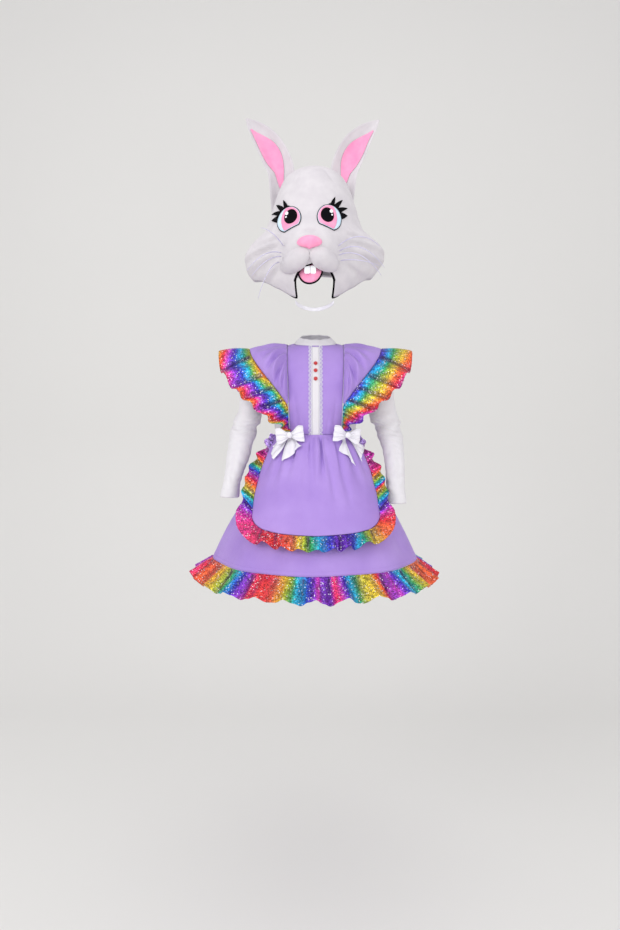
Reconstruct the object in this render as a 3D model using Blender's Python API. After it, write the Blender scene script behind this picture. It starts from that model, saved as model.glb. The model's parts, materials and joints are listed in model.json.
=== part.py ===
"""Rabbit costume: a head mask, a lilac dress with rainbow ruffles, white sleeves and satin bows.

Metres, +Z up. The wearer faces -Y, and +X is on the right in the front view.
The origin is the centre of the neckline, where the wearer's neck holds the dress.
Each piece of cloth is a closed wall: a rule gives its outer face, and its inner face lies a wall deeper.
"""

import bpy
import bmesh
from math import asin, atan2, cos, exp, pi, radians, sin, sqrt
from numpy import interp
from mathutils import Vector
from mathutils.bvhtree import BVHTree

for old in list(bpy.data.objects):
    bpy.data.objects.remove(old, do_unlink=True)
COSTUME = bpy.data.collections.new("rabbit_costume")
bpy.context.scene.collection.children.link(COSTUME)

# Driving dimensions
SEAM_GAP = 0.0003          # between two sewn pieces
DRESS_WALL = 0.0016        # dress, sleeves and skirts
RUFFLE_WALL = 0.0012       # rainbow ruffles
TRIM_WALL = 0.0010         # lace, ribbon and linings
FOAM_WALL = 0.0070         # padded head
EAR_WALL = 0.0050          # padded ears
FELT = 0.0012              # eye layers and lashes
WAIST = -0.262             # height of the waist seam
HEM = -0.612               # height of the seam above the hem ruffle
UP = Vector((0.0, 0.0, 1.0))
LEFT, RIGHT = -1, 1        # sides in the front view

PALETTE = {
    "white_jersey": ((0.86, 0.85, 0.88), 0.75),
    "white_plush": ((0.88, 0.87, 0.89), 0.85),
    "white_satin": ((0.90, 0.89, 0.92), 0.32),
    "white_lace": ((0.88, 0.88, 0.90), 0.80),
    "lilac_cotton": ((0.43, 0.29, 0.72), 0.70),
    "rainbow_foil": ((0.70, 0.22, 0.45), 0.35),
    "pink_felt": ((0.93, 0.30, 0.52), 0.80),
    "black_felt": ((0.01, 0.01, 0.012), 0.70),
    "eye_white": ((0.72, 0.84, 0.90), 0.60),
    "red_button": ((0.65, 0.05, 0.05), 0.25),
    "whisker": ((0.75, 0.73, 0.85), 0.40),
}


class Table:
    """Rows of sizes under named columns. The first column is the key, and the others follow it smoothly."""

    def __init__(self, columns, *rows):
        self.columns = columns
        self.rows = sorted(rows)
        self.keys = [row[0] for row in self.rows]

    def at(self, key, column):
        values = [row[self.columns.index(column)] for row in self.rows]
        return smooth_value(self.keys, values, key)

    def vector(self, key):
        return Vector([self.at(key, axis) for axis in ("x", "y", "z")])


def smooth_value(keys, values, key):
    """Read a value between rows on a smooth curve that never overshoots them."""
    key = min(max(key, keys[0]), keys[-1])
    i = 0
    while i < len(keys) - 2 and key > keys[i + 1]:
        i += 1
    slopes = [(values[n + 1] - values[n]) / (keys[n + 1] - keys[n]) for n in range(len(keys) - 1)]

    def tangent(n):
        if n == 0 or n == len(keys) - 1:
            return slopes[min(n, len(slopes) - 1)]
        if slopes[n - 1] * slopes[n] <= 0:
            return 0.0
        return 2 * slopes[n - 1] * slopes[n] / (slopes[n - 1] + slopes[n])

    span = keys[i + 1] - keys[i]
    t = (key - keys[i]) / span
    start, end = values[i], values[i + 1]
    return ((2 * t**3 - 3 * t**2 + 1) * start + (t**3 - 2 * t**2 + t) * span * tangent(i)
            + (3 * t**2 - 2 * t**3) * end + (t**3 - t**2) * span * tangent(i + 1))


def lerp(a, b, t):
    return a + (b - a) * t


def step_between(low, high, value):
    """0 below low, 1 above high, smooth between."""
    t = min(max((value - low) / (high - low), 0.0), 1.0)
    return t * t * (3 - 2 * t)


def in_list(values, t):
    """Read a list of row places at t from 0 to 1, straight between entries."""
    place = min(max(t, 0.0), 1.0) * (len(values) - 1)
    i = min(int(place), len(values) - 2)
    return lerp(values[i], values[i + 1], place - i)


# Making meshes


def make_material(name):
    colour, roughness = PALETTE[name]
    material = bpy.data.materials.get(name)
    if material is None:
        material = bpy.data.materials.new(name)
        material.use_nodes = True
        shader = material.node_tree.nodes["Principled BSDF"]
        shader.inputs["Base Color"].default_value = (*colour, 1.0)
        shader.inputs["Roughness"].default_value = roughness
        material.diffuse_color = (*colour, 1.0)
    return material


def make_object(name, bm, finish):
    bm.normal_update()
    bmesh.ops.recalc_face_normals(bm, faces=bm.faces)
    if bm.calc_volume(signed=True) < 0:
        bmesh.ops.reverse_faces(bm, faces=bm.faces)
    mesh = bpy.data.meshes.new(name)
    bm.to_mesh(mesh)
    bm.free()
    mesh.shade_smooth()
    mesh.set_sharp_from_angle(angle=radians(50))
    mesh.materials.append(make_material(finish))
    piece = bpy.data.objects.new(name, mesh)
    COSTUME.objects.link(piece)
    return piece


def wall_piece(name, outer, inner, finish, closed=False):
    """Close the space between two grids of points. A first row of one point is a pole."""
    bm = bmesh.new()
    grids = []
    for rows in (outer, inner):
        grids.append([[bm.verts.new(point) for point in row] for row in rows])
    width = len(outer[-1])
    columns = range(width if closed else width - 1)

    def corner(grid, row, column):
        line = grid[row]
        return line[0] if len(line) == 1 else line[column % width]

    def face(*corners):
        kept = list(dict.fromkeys(corners))
        if len(kept) > 2:
            bm.faces.new(kept)

    for grid in grids:
        for row in range(len(outer) - 1):
            for column in columns:
                face(corner(grid, row, column), corner(grid, row + 1, column),
                     corner(grid, row + 1, column + 1), corner(grid, row, column + 1))
    out, deep = grids
    ends = [len(outer) - 1] if len(outer[0]) == 1 else [0, len(outer) - 1]
    for row in ends:
        for column in columns:
            face(corner(out, row, column), corner(out, row, column + 1),
                 corner(deep, row, column + 1), corner(deep, row, column))
    if not closed:
        for column in (0, width - 1):
            for row in range(len(outer) - 1):
                face(corner(out, row, column), corner(out, row + 1, column),
                     corner(deep, row + 1, column), corner(deep, row, column))
    return make_object(name, bm, finish)


def surface_normal(surface, u, v, step=0.0005):
    across = surface(u + step, v) - surface(u - step, v)
    down = surface(u, min(v + step, 1.0)) - surface(u, max(v - step, 0.0))
    return down.cross(across).normalized()


def cloth(name, surface, across, down, wall, finish, closed=False, side=1):
    """Make a wall under surface(u, v): u runs across or around, v runs down, side -1 turns it over."""
    outer, inner = [], []
    for row in range(down + 1):
        outer.append([])
        inner.append([])
        for column in range(across if closed else across + 1):
            u, v = column / across, row / down
            point = surface(u, v)
            normal = surface_normal(surface, u, v) * side
            outer[-1].append(point)
            inner[-1].append(point - normal * wall)
    return wall_piece(name, outer, inner, finish, closed)


# Bodice: rings of a general figure from the neckline down to the waist

TORSO = Table(("height", "half_width", "half_depth"),
              (0.000, 0.0610, 0.0580),
              (-0.006, 0.0850, 0.0620),
              (-0.018, 0.1200, 0.0680),
              (-0.034, 0.1530, 0.0750),
              (-0.054, 0.1770, 0.0840),
              (-0.085, 0.1800, 0.0940),
              (-0.125, 0.1570, 0.1010),
              (-0.170, 0.1360, 0.1020),
              (-0.220, 0.1200, 0.0960),
              (WAIST, 0.1150, 0.0900))
BODICE_ROWS = (0.0, -0.0050, -0.016, -0.034, -0.060, -0.095, -0.135, -0.180, -0.222, WAIST)
NECK_TILT = 0.22           # the front of the neckline lies lower than the back
WING_SEAM_TOP = 0.080      # distance of the wing seam from the middle at the shoulder
WING_SEAM_WAIST = 0.0715
ARMHOLE_HEIGHT = -0.093    # middle of the armhole
ARMHOLE_HALF_HEIGHT = 0.043
ARMHOLE_HALF_ANGLE = radians(29)


def torso_point(angle, height):
    width = TORSO.at(height, "half_width")
    depth = TORSO.at(height, "half_depth")
    tilt = NECK_TILT * (1 - step_between(0.0, 0.12, -height))
    y = -depth * cos(angle)
    return Vector((width * sin(angle), y, height + tilt * y))


def torso_normal(angle, height, step=0.0005):
    around = torso_point(angle + step, height) - torso_point(angle - step, height)
    down = torso_point(angle, height - step) - torso_point(angle, height + step)
    return down.cross(around).normalized()


def wing_seam_angle(height):
    """Angle from the front at which the wing seam crosses the ring at this height."""
    middle = lerp(WING_SEAM_TOP, WING_SEAM_WAIST, height / WAIST)
    return asin(min(1.0, middle / TORSO.at(height, "half_width")))


def bodice_panel(name, facing, finish):
    """The lilac panel between the wing seams, in front (facing 0) or behind (facing pi)."""
    def panel(u, v):
        height = in_list(BODICE_ROWS, v)
        edge = wing_seam_angle(height) - SEAM_GAP / TORSO.at(height, "half_width")
        return torso_point(facing + lerp(-edge, edge, u), height)
    cloth(name, panel, 8, len(BODICE_ROWS) - 1, DRESS_WALL, finish)


def armhole_point(turn, inset=0.0):
    """Angle and height of a point of the armhole, turn 0 at its back and a quarter turn at its top."""
    shrink = 1 - inset / ARMHOLE_HALF_HEIGHT
    return (pi / 2 + ARMHOLE_HALF_ANGLE * shrink * cos(turn),
            ARMHOLE_HEIGHT + ARMHOLE_HALF_HEIGHT * shrink * sin(turn))


def bodice_side(name, side):
    """White side panel: a ring of cloth from the armhole out to the wing seam and the waist."""
    rows = BODICE_ROWS[1:]
    rim = []
    for height in reversed(rows):
        rim.append((wing_seam_angle(height) + SEAM_GAP / TORSO.at(height, "half_width"), height))
    rim[-1] = (pi / 2, BODICE_ROWS[1] - SEAM_GAP * 2)
    rim += [(pi - angle, height) for angle, height in reversed(rim[:-1])]
    front = rim[0][0]
    waist_steps = 6
    for i in range(1, waist_steps):
        rim.append((lerp(pi - front, front, i / waist_steps), WAIST))
    outer, inner = [], []
    for ring in range(3):
        outer.append([])
        inner.append([])
        for angle, height in rim:
            turn = atan2((height - ARMHOLE_HEIGHT) / ARMHOLE_HALF_HEIGHT,
                         (angle - pi / 2) / ARMHOLE_HALF_ANGLE)
            hole_angle, hole_height = armhole_point(turn)
            here = (lerp(hole_angle, angle, ring / 2), lerp(hole_height, height, ring / 2))
            point, normal = torso_point(*here), torso_normal(*here)
            outer[-1].append(Vector((side * point.x, point.y, point.z)))
            deep = point - normal * DRESS_WALL
            inner[-1].append(Vector((side * deep.x, deep.y, deep.z)))
    wall_piece(name, outer, inner, "white_jersey", closed=True)


# Sleeves: rings along each arm. turn is how far the ring has tipped from upright to level.

SLEEVE_COLUMNS = ("step", "x", "y", "z", "turn", "half_width", "half_depth")
SLEEVE_LEFT = Table(SLEEVE_COLUMNS,
                    (1.0, 0.186, 0.000, -0.096, 35, 0.043, 0.048),
                    (2.0, 0.187, 0.001, -0.126, 62, 0.0375, 0.046),
                    (3.0, 0.187, 0.002, -0.160, 78, 0.0345, 0.043),
                    (4.0, 0.189, 0.002, -0.192, 84, 0.0345, 0.041),
                    (5.0, 0.198, 0.001, -0.222, 84, 0.0390, 0.042),
                    (5.6, 0.204, 0.000, -0.238, 84, 0.0345, 0.038),
                    (6.2, 0.208, -0.003, -0.254, 84, 0.0385, 0.041),
                    (7.0, 0.214, -0.008, -0.282, 84, 0.0355, 0.038),
                    (8.0, 0.222, -0.016, -0.320, 84, 0.0335, 0.035),
                    (9.0, 0.231, -0.026, -0.360, 84, 0.0275, 0.030),
                    (10.0, 0.239, -0.035, -0.398, 86, 0.0245, 0.027),
                    (11.0, 0.245, -0.042, -0.438, 88, 0.0265, 0.029))
SLEEVE_RIGHT = Table(SLEEVE_COLUMNS,
                     (1.0, 0.186, 0.000, -0.096, 35, 0.043, 0.048),
                     (2.0, 0.188, 0.001, -0.126, 62, 0.0390, 0.046),
                     (3.0, 0.190, 0.002, -0.160, 78, 0.0385, 0.044),
                     (4.0, 0.194, 0.001, -0.192, 86, 0.0410, 0.043),
                     (5.0, 0.203, -0.003, -0.224, 90, 0.0430, 0.043),
                     (5.6, 0.208, -0.008, -0.240, 90, 0.0360, 0.038),
                     (6.2, 0.213, -0.013, -0.258, 90, 0.0370, 0.040),
                     (7.0, 0.219, -0.022, -0.284, 90, 0.0330, 0.036),
                     (8.0, 0.224, -0.036, -0.322, 90, 0.0290, 0.031),
                     (9.0, 0.226, -0.050, -0.366, 90, 0.0270, 0.028),
                     (10.0, 0.226, -0.062, -0.408, 90, 0.0260, 0.027),
                     (11.0, 0.2275, -0.072, -0.452, 90, 0.0275, 0.029))
SLEEVE_ROWS = (0.0, 0.5, 1.0, 1.7, 2.5, 4.0, 5.0, 5.6, 6.2, 7.0, 8.0, 9.0, 10.0, 11.0)
ARMHOLE_CLEARANCE = 0.0007


def sleeve_ring_point(table, turn, step):
    centre = table.vector(step)
    tip = radians(table.at(step, "turn"))
    outward = Vector((sin(tip), 0.0, cos(tip)))
    return (centre + outward * (table.at(step, "half_width") * sin(turn))
            + Vector((0.0, table.at(step, "half_depth") * cos(turn), 0.0)))


def sleeve(name, side, table):
    def surface(u, v):
        turn = 2 * pi * u
        step = in_list(SLEEVE_ROWS, v)
        point = sleeve_ring_point(table, turn, max(step, 1.0))
        if step < 1.0:
            root = torso_point(*armhole_point(turn, ARMHOLE_CLEARANCE)) + Vector((SEAM_GAP, 0, 0))
            point = lerp(root, point, max(step, -0.01))
        return Vector((side * point.x, point.y, point.z))
    cloth(name, surface, 12, len(SLEEVE_ROWS) - 1, DRESS_WALL, "white_jersey", closed=True, side=-side)


# Collar, placket, lace and buttons

COLLAR_HEIGHT = 0.019
COLLAR_TOP_SCALE = 0.70
PLACKET_HALF = 0.0092
LACE_WIDTH = 0.0105
LACE_SCALLOP = 0.0125      # length of one scallop
LACE_DEPTH = 0.0030
BUTTON_RADIUS = 0.0055
BUTTON_DEPTH = 0.0035
BUTTON_HEIGHTS = (-0.056, -0.081, -0.108)
PLACKET_TOP = -0.004


def collar():
    def surface(u, v):
        base = torso_point(2 * pi * u, 0.0)
        scale = lerp(COLLAR_TOP_SCALE, 0.985, v ** 0.8)
        rise = COLLAR_HEIGHT * (1 - v) + SEAM_GAP * 2
        return Vector((base.x * scale, base.y * scale, base.z + rise))
    cloth("collar", surface, 20, 2, DRESS_WALL, "white_jersey", closed=True)


def front_point(x, height, lift):
    """A point over the front panel, straight out from the cloth."""
    angle = asin(x / TORSO.at(height, "half_width"))
    return torso_point(angle, height) + torso_normal(angle, height) * lift


def front_strip(name, columns, rows, thickness, finish):
    """A strip down the front: columns(height) gives the places across it."""
    outer, inner = [], []
    base = SEAM_GAP + 0.0002
    for row in range(rows + 1):
        height = lerp(PLACKET_TOP, WAIST, row / rows)
        outer.append([front_point(x, height, base + thickness) for x in columns(height)])
        inner.append([front_point(x, height, base) for x in columns(height)])
    wall_piece(name, outer, inner, finish)


def lace(name, side):
    inside = side * (PLACKET_HALF + SEAM_GAP)

    def scalloped(height):
        wave = abs(cos(pi * (height - WAIST) / LACE_SCALLOP))
        return inside, side * (PLACKET_HALF + LACE_WIDTH - LACE_DEPTH * (1 - wave))
    rows = 2 * round(abs(WAIST) / LACE_SCALLOP)
    front_strip(name, scalloped, rows, TRIM_WALL, "white_lace")


def button(number, height):
    base = front_point(0.0, height, SEAM_GAP * 2 + 0.0002 + DRESS_WALL)
    normal = torso_normal(0.0, height)
    bm = bmesh.new()
    bmesh.ops.create_cone(bm, cap_ends=True, segments=12, radius1=BUTTON_RADIUS,
                          radius2=BUTTON_RADIUS * 0.72, depth=BUTTON_DEPTH)
    turn = UP.rotation_difference(normal).to_matrix().to_4x4()
    bmesh.ops.transform(bm, matrix=turn, verts=bm.verts)
    bmesh.ops.translate(bm, vec=base + normal * (BUTTON_DEPTH / 2 + SEAM_GAP), verts=bm.verts)
    make_object(f"button_{number}", bm, "red_button")


# Wings: gathered at the shoulder seam, with a rainbow ruffle along the outer edge


def mirrored(rows):
    """Rows for the front half, keyed 0 to 0.5, and the same rows turned over the shoulder to the back."""
    back = [(1 - key, x, -y, z) for key, x, y, z in rows if key < 0.5]
    return Table(("key", "x", "y", "z"), *rows, *back)


def seam_row(key, height, lift):
    """A row of a wing table that lies on the wing seam, moved out from the bodice."""
    angle = wing_seam_angle(height)
    point = torso_point(angle, height) + torso_normal(angle, height) * lift
    return (key, *point)


WING_LIFT = 0.0024         # clearance of the wing's root over the bodice
WING_START = 0.185         # key at which the lilac wing begins
WING_SEAM_END = -0.172     # height of its lower corner
WING_PUFF = 0.005            # rise of the wing over the shoulder ridge
WING_SWELL = 0.024           # rise in front of and behind it
WING_GATHERS = 6
WING_WAVES = 12
WING_RUFFLE_GAP = 0.0010    # the curved edges keep 0.3 mm at their nearest

WING_EDGE = mirrored([seam_row(0.00, -0.244, WING_LIFT),
                      seam_row(0.08, -0.214, WING_LIFT),
                      seam_row(0.16, -0.186, WING_LIFT),
                      (0.24, 0.096, -0.0990, -0.152),
                      (0.32, 0.122, -0.1030, -0.118),
                      (0.40, 0.154, -0.0860, -0.078),
                      (0.46, 0.180, -0.0480, -0.038),
                      (0.50, 0.189, 0.0, -0.014)])
WING_RIM = mirrored([(0.00, 0.078, -0.088, -0.2560),
                     (0.08, 0.103, -0.108, -0.2350),
                     (0.16, 0.137, -0.118, -0.2120),
                     (0.24, 0.172, -0.119, -0.1820),
                     (0.32, 0.208, -0.110, -0.1500),
                     (0.40, 0.246, -0.086, -0.1080),
                     (0.46, 0.270, -0.046, -0.0660),
                     (0.50, 0.278, 0.0, -0.0350)])
SHOULDER_RIDGE = -0.0046   # height where the wing seam crosses the shoulder


def wing_seam_point(part, lift):
    """The seam from its front corner (0) over the shoulder (0.5) to its back corner (1)."""
    height = lerp(SHOULDER_RIDGE, WING_SEAM_END, 1 - sin(pi * part))
    angle = wing_seam_angle(height)
    if cos(pi * part) < 0:
        angle = pi - angle
    return torso_point(angle, height) + torso_normal(angle, height) * lift


def wing_frame(key):
    """Direction out across the wing and the direction that faces away from the body."""
    out = (WING_RIM.vector(key) - WING_EDGE.vector(key)).normalized()
    along = (WING_EDGE.vector(key + 0.01) - WING_EDGE.vector(key - 0.01)
             + WING_RIM.vector(key + 0.01) - WING_RIM.vector(key - 0.01))
    return out, out.cross(along).normalized()


def wing(name, side):
    def surface(u, v):
        key = lerp(WING_START, 1 - WING_START, u)
        part = (key - WING_START) / (1 - 2 * WING_START)
        seam = wing_seam_point(part, WING_LIFT)
        edge = WING_EDGE.vector(key)
        face = wing_frame(key)[1]
        middle = sin(pi * min(max(part, 0.0), 1.0))
        gather = 0.0030 * middle * cos(2 * pi * WING_GATHERS * part) * exp(-2.2 * v) * (1 - v)
        swell = WING_PUFF * middle + WING_SWELL * abs(sin(2 * pi * part)) if 0 < part < 1 else 0.0
        puff = swell * sin(pi * v) ** 0.8 if 0 < v < 1 else 0.0
        point = lerp(seam, edge, v) + face * (puff + gather)
        return Vector((side * point.x, point.y, point.z))
    cloth(name, surface, 3 * WING_GATHERS, 4, DRESS_WALL, "lilac_cotton", side=side)


def wing_ruffle(name, side):
    def surface(u, v):
        key = u
        out, face = wing_frame(key)
        root = WING_EDGE.vector(key) + out * WING_RUFFLE_GAP
        rim = WING_RIM.vector(key)
        spread = sin(pi * min(max(key, 0.0), 1.0)) ** 0.5 if 0 < key < 1 else 0.0
        uneven = 1 + 0.3 * sin(5.1 * pi * key + 0.6)
        wave = cos(2 * pi * WING_WAVES * key + 0.6 * sin(6 * pi * key))
        swing = 0.0095 * uneven * wave * v ** 1.1 * (0.35 + 0.65 * spread)
        droop = 0.010 * v * (1 - v)
        point = lerp(root, rim, v) + face * (swing + droop) - out * (0.004 * wave * v)
        return Vector((side * point.x, point.y, point.z))
    cloth(name, surface, 5 * WING_WAVES, 2, RUFFLE_WALL, "rainbow_foil", side=side)


# Underskirt and hem ruffle

SKIRT = Table(("height", "half_width", "half_depth"),
              (WAIST, 0.1150, 0.0900),
              (-0.275, 0.1190, 0.0960),
              (-0.300, 0.1330, 0.1130),
              (-0.340, 0.1520, 0.1350),
              (-0.390, 0.1760, 0.1620),
              (-0.450, 0.2080, 0.1970),
              (-0.530, 0.2540, 0.2460),
              (HEM, 0.2930, 0.2900))
SKIRT_ROWS = (WAIST - SEAM_GAP, -0.280, -0.318, -0.390, -0.490, HEM)
SKIRT_GATHERS = 24
HEM_WAVES = 26
HEM_FLARE = 0.060          # how far the hem ruffle stands out
HEM_DROP = 0.049           # how far it hangs


def skirt_point(angle, height):
    low = (WAIST - height) / (WAIST - HEM)
    gather = 0.0030 * cos(SKIRT_GATHERS * angle) * step_between(-0.02, 0.10, low)
    gather *= 1 - step_between(0.1, 0.42, low)
    broad = 0.0050 * (0.6 * cos(9 * angle + 0.4) + 0.4 * cos(5 * angle + 1.9)) * step_between(0.2, 1.0, low)
    width = SKIRT.at(height, "half_width") + gather + broad
    depth = SKIRT.at(height, "half_depth") + gather + broad
    return Vector((width * sin(angle), -depth * cos(angle), height))


def skirt_normal(angle, height, step=0.001):
    around = skirt_point(angle + step, height) - skirt_point(angle - step, height)
    down = skirt_point(angle, height - step) - skirt_point(angle, height + step)
    return down.cross(around).normalized()


def underskirt():
    cloth("underskirt", lambda u, v: skirt_point(2 * pi * u, in_list(SKIRT_ROWS, v)),
          2 * SKIRT_GATHERS, len(SKIRT_ROWS) - 1, DRESS_WALL, "lilac_cotton", closed=True)


def hem_ruffle():
    def surface(u, v):
        angle = 2 * pi * u
        root = skirt_point(angle, HEM)
        radial = Vector((sin(angle), -cos(angle), 0.0))
        face = Vector((radial.x * 0.63, radial.y * 0.63, 0.77))
        uneven = 1 + 0.28 * sin(3 * angle + 0.7) + 0.15 * sin(7 * angle)
        wave = cos(HEM_WAVES * angle + 0.7 * sin(3 * angle) + 0.4 * sin(5 * angle + 1))
        swing = 0.0105 * uneven * wave * v ** 1.1 + 0.0012 * wave * (1 - v)
        return (root - UP * (SEAM_GAP * 1.5 + HEM_DROP * v ** 0.95)
                + radial * (HEM_FLARE * v ** 1.1) + face * (swing * min(1.0, 4 * v)))
    cloth("hem_ruffle", surface, 5 * HEM_WAVES, 2, RUFFLE_WALL, "rainbow_foil", closed=True)


# Apron and its ruffle, made from the underskirt's points, moved out

APRON_HALF = Table(("height", "half_width"),
                   (WAIST, 0.1080),
                   (-0.300, 0.1220),
                   (-0.340, 0.1370),
                   (-0.390, 0.1520),
                   (-0.440, 0.1620),
                   (-0.530, 0.1640))
APRON_FOOT = Table(("place", "height"),
                   (0.00, -0.5220),
                   (0.50, -0.5190),
                   (0.80, -0.5120),
                   (0.93, -0.5010),
                   (1.00, -0.4860))
APRON_LIFT = Table(("height", "lift"),
                   (WAIST, 0.0036),
                   (-0.300, 0.0085),
                   (-0.400, 0.0095),
                   (-0.530, 0.0110))
APRON_GATHERS = 10
APRON_WAVES = 20
APRON_RUFFLE_GAP = 0.0017
APRON_RUFFLE_WIDTH = Table(("key", "width", "lean"),
                           (0.00, 0.014, 46),
                           (0.06, 0.026, 46),
                           (0.14, 0.036, 44),
                           (0.25, 0.044, 40),
                           (0.33, 0.045, 24),
                           (0.50, 0.044, 14),
                           (0.67, 0.045, 24),
                           (0.75, 0.040, 38),
                           (0.86, 0.032, 42),
                           (0.94, 0.024, 46),
                           (1.00, 0.014, 46))


def apron_point(place, part, lift=0.0):
    """place runs from -1 to 1 across, part from the waist (0) to the lower edge (1)."""
    height = lerp(WAIST - SEAM_GAP, APRON_FOOT.at(abs(place), "height"), part)
    half = APRON_HALF.at(height, "half_width")
    angle = asin(min(max(place * half / SKIRT.at(height, "half_width"), -1.0), 1.0))
    point = skirt_point(angle, height)
    normal = skirt_normal(angle, height)
    gather = 0.0026 * (1 + cos(2 * pi * APRON_GATHERS * (place + 1) / 2)) * exp(-3.0 * part)
    gather *= step_between(0.0, 0.06, part) * (1 - abs(place) ** 4) if abs(place) < 1 else 0.0
    return point + normal * (APRON_LIFT.at(height, "lift") + gather + lift)


def apron():
    cloth("apron", lambda u, v: apron_point(2 * u - 1, v), 3 * APRON_GATHERS, 6, DRESS_WALL, "lilac_cotton")


APRON_SIDE_SHARE = 0.30    # share of the edge that each straight side takes


def apron_edge(key):
    """A point of the apron's edge from the left waist round to the right waist, and its three directions."""
    key = min(max(key, 0.0), 1.0)
    if key < APRON_SIDE_SHARE:
        place, part = -1.0, key / APRON_SIDE_SHARE
    elif key > 1 - APRON_SIDE_SHARE:
        place, part = 1.0, (1 - key) / APRON_SIDE_SHARE
    else:
        place, part = lerp(-1.0, 1.0, (key - APRON_SIDE_SHARE) / (1 - 2 * APRON_SIDE_SHARE)), 1.0
    point = apron_point(place, part)
    sideways = apron_point(place * 0.99, part)
    above = apron_point(place, part * 0.98 if part > 0.02 else part + 0.02)
    to_side = (apron_point(place, part) - sideways).normalized() if abs(place) > 0.02 else Vector((0, 0, 0))
    to_foot = (point - above).normalized() * (1 if part > 0.02 else -1)
    corner = step_between(APRON_SIDE_SHARE - 0.05, APRON_SIDE_SHARE + 0.07, min(key, 1 - key))
    out = (to_side * (1 - corner) + to_foot * corner).normalized()
    width = apron_point(place, part, 0.001) - point
    return point, out, width.normalized()


def apron_ruffle():
    def surface(u, v):
        point, out, normal = apron_edge(u)
        lean = radians(APRON_RUFFLE_WIDTH.at(u, "lean"))
        length = APRON_RUFFLE_WIDTH.at(u, "width")
        reach = out * cos(lean) + normal * sin(lean)
        face = normal * cos(lean) - out * sin(lean)
        uneven = 1 + 0.3 * sin(7 * pi * u + 0.4)
        wave = cos(2 * pi * APRON_WAVES * u + 0.8 * sin(4 * pi * u))
        swing = 0.0080 * uneven * wave * v ** 1.1
        return point + out * APRON_RUFFLE_GAP + reach * (length * v) + face * (swing + 0.006 * v * (1 - v))
    cloth("apron_ruffle", surface, 5 * APRON_WAVES, 2, RUFFLE_WALL, "rainbow_foil")


# Bows at the waist

BOW_PLACE = {LEFT: radians(35), RIGHT: radians(42)}    # angle of each bow round the waist
BOW_FACING = {LEFT: radians(8), RIGHT: radians(16)}    # the bows face more to the front than the waist
BOW_OUT = 0.0340           # distance of the bow's middle from the waist seam
BOW_HALF = 0.039           # length of one loop
BOW_DEPTH = 0.0075
RIBBON_HALF = 0.0220
RIBBON_PINCH = 0.0065
TAIL_LIFT = {LEFT: 0.0120, RIGHT: 0.0100}    # of the tails over the underskirt, clear of the apron
TAILS = Table(("tail", "reach", "drop", "half", "slant"),
              # the left bow's left and right tails, then the right bow's
              (0, 0.038, 0.054, 0.0140, 0.018),
              (1, 0.027, 0.056, 0.0200, 0.019),
              (2, 0.020, 0.068, 0.0165, 0.021),
              (3, 0.038, 0.060, 0.0130, 0.020))
BOW_TILT = {LEFT: radians(7), RIGHT: radians(-9)}


def bow_frame(side):
    angle = side * BOW_PLACE[side]
    seam = torso_point(angle, WAIST)
    facing = side * BOW_FACING[side]
    normal = Vector((sin(facing), -cos(facing), 0.0))
    across = Vector((cos(facing), sin(facing), 0.0))
    tilt = BOW_TILT[side]
    turned, up = across * cos(tilt) + UP * sin(tilt), UP * cos(tilt) - across * sin(tilt)
    return seam + normal * BOW_OUT, turned, up, normal


def bow(prefix, side):
    middle, across, up, out = bow_frame(side)

    def loops(u, v):
        turn = 2 * pi * u
        reach = BOW_HALF * cos(turn)
        far = abs(cos(turn))
        depth = BOW_DEPTH * sin(turn) * (0.30 + 0.70 * far ** 0.8)
        half = lerp(RIBBON_PINCH, RIBBON_HALF, step_between(0.0, 0.75, far))
        ripple = 0.0012 * far * cos(6 * pi * v)
        return middle + across * reach + out * (depth + ripple) + up * (half * (2 * v - 1))

    def tails(u, v):
        along, place = 2 * u - 1, 2 * v - 1
        far = abs(along)
        turned = min(1.0, far * 6)
        tail = (1 if along > 0 else 0) + (2 if side == RIGHT else 0)
        half = lerp(RIBBON_PINCH, TAILS.at(tail, "half"), step_between(0.0, 0.8, far))
        reach = TAILS.at(tail, "reach") * far + RIBBON_PINCH * turned * (1 - far)
        if place < 0:
            half = min(half, 0.8 * reach)
        spread = (reach + half * place * turned) * (1 if along > 0 else -1)
        height = WAIST - 0.002 - TAILS.at(tail, "drop") * far + TAILS.at(tail, "slant") * far**2 * place
        angle = side * BOW_PLACE[side] + spread / SKIRT.at(height, "half_width")
        hanging = skirt_point(angle, height) + skirt_normal(angle, height) * (TAIL_LIFT[side] + 0.0048 * far)
        behind = out * (BOW_DEPTH * 0.30 + TRIM_WALL + SEAM_GAP * 5)
        held = middle - behind + across * spread + up * (RIBBON_PINCH * place * (1 - turned))
        return lerp(held, hanging, step_between(0.0, 0.35, far))
    cloth(f"{prefix}_loops", loops, 18, 2, TRIM_WALL, "white_satin", closed=True)
    cloth(f"{prefix}_tails", tails, 12, 2, TRIM_WALL, "white_satin")
    knot_bm = bmesh.new()
    bmesh.ops.create_uvsphere(knot_bm, u_segments=10, v_segments=6, radius=1.0)
    for vert in knot_bm.verts:
        size = vert.co
        vert.co = (middle + across * (0.0065 * size.x) + up * (0.0085 * size.z)
                   + out * (BOW_DEPTH * 0.30 + 0.0062 + 0.0042 * size.y))
    make_object(f"{prefix}_knot", knot_bm, "white_satin")


# Head mask: distances from the middle of the head, by the angle down from the crown

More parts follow.
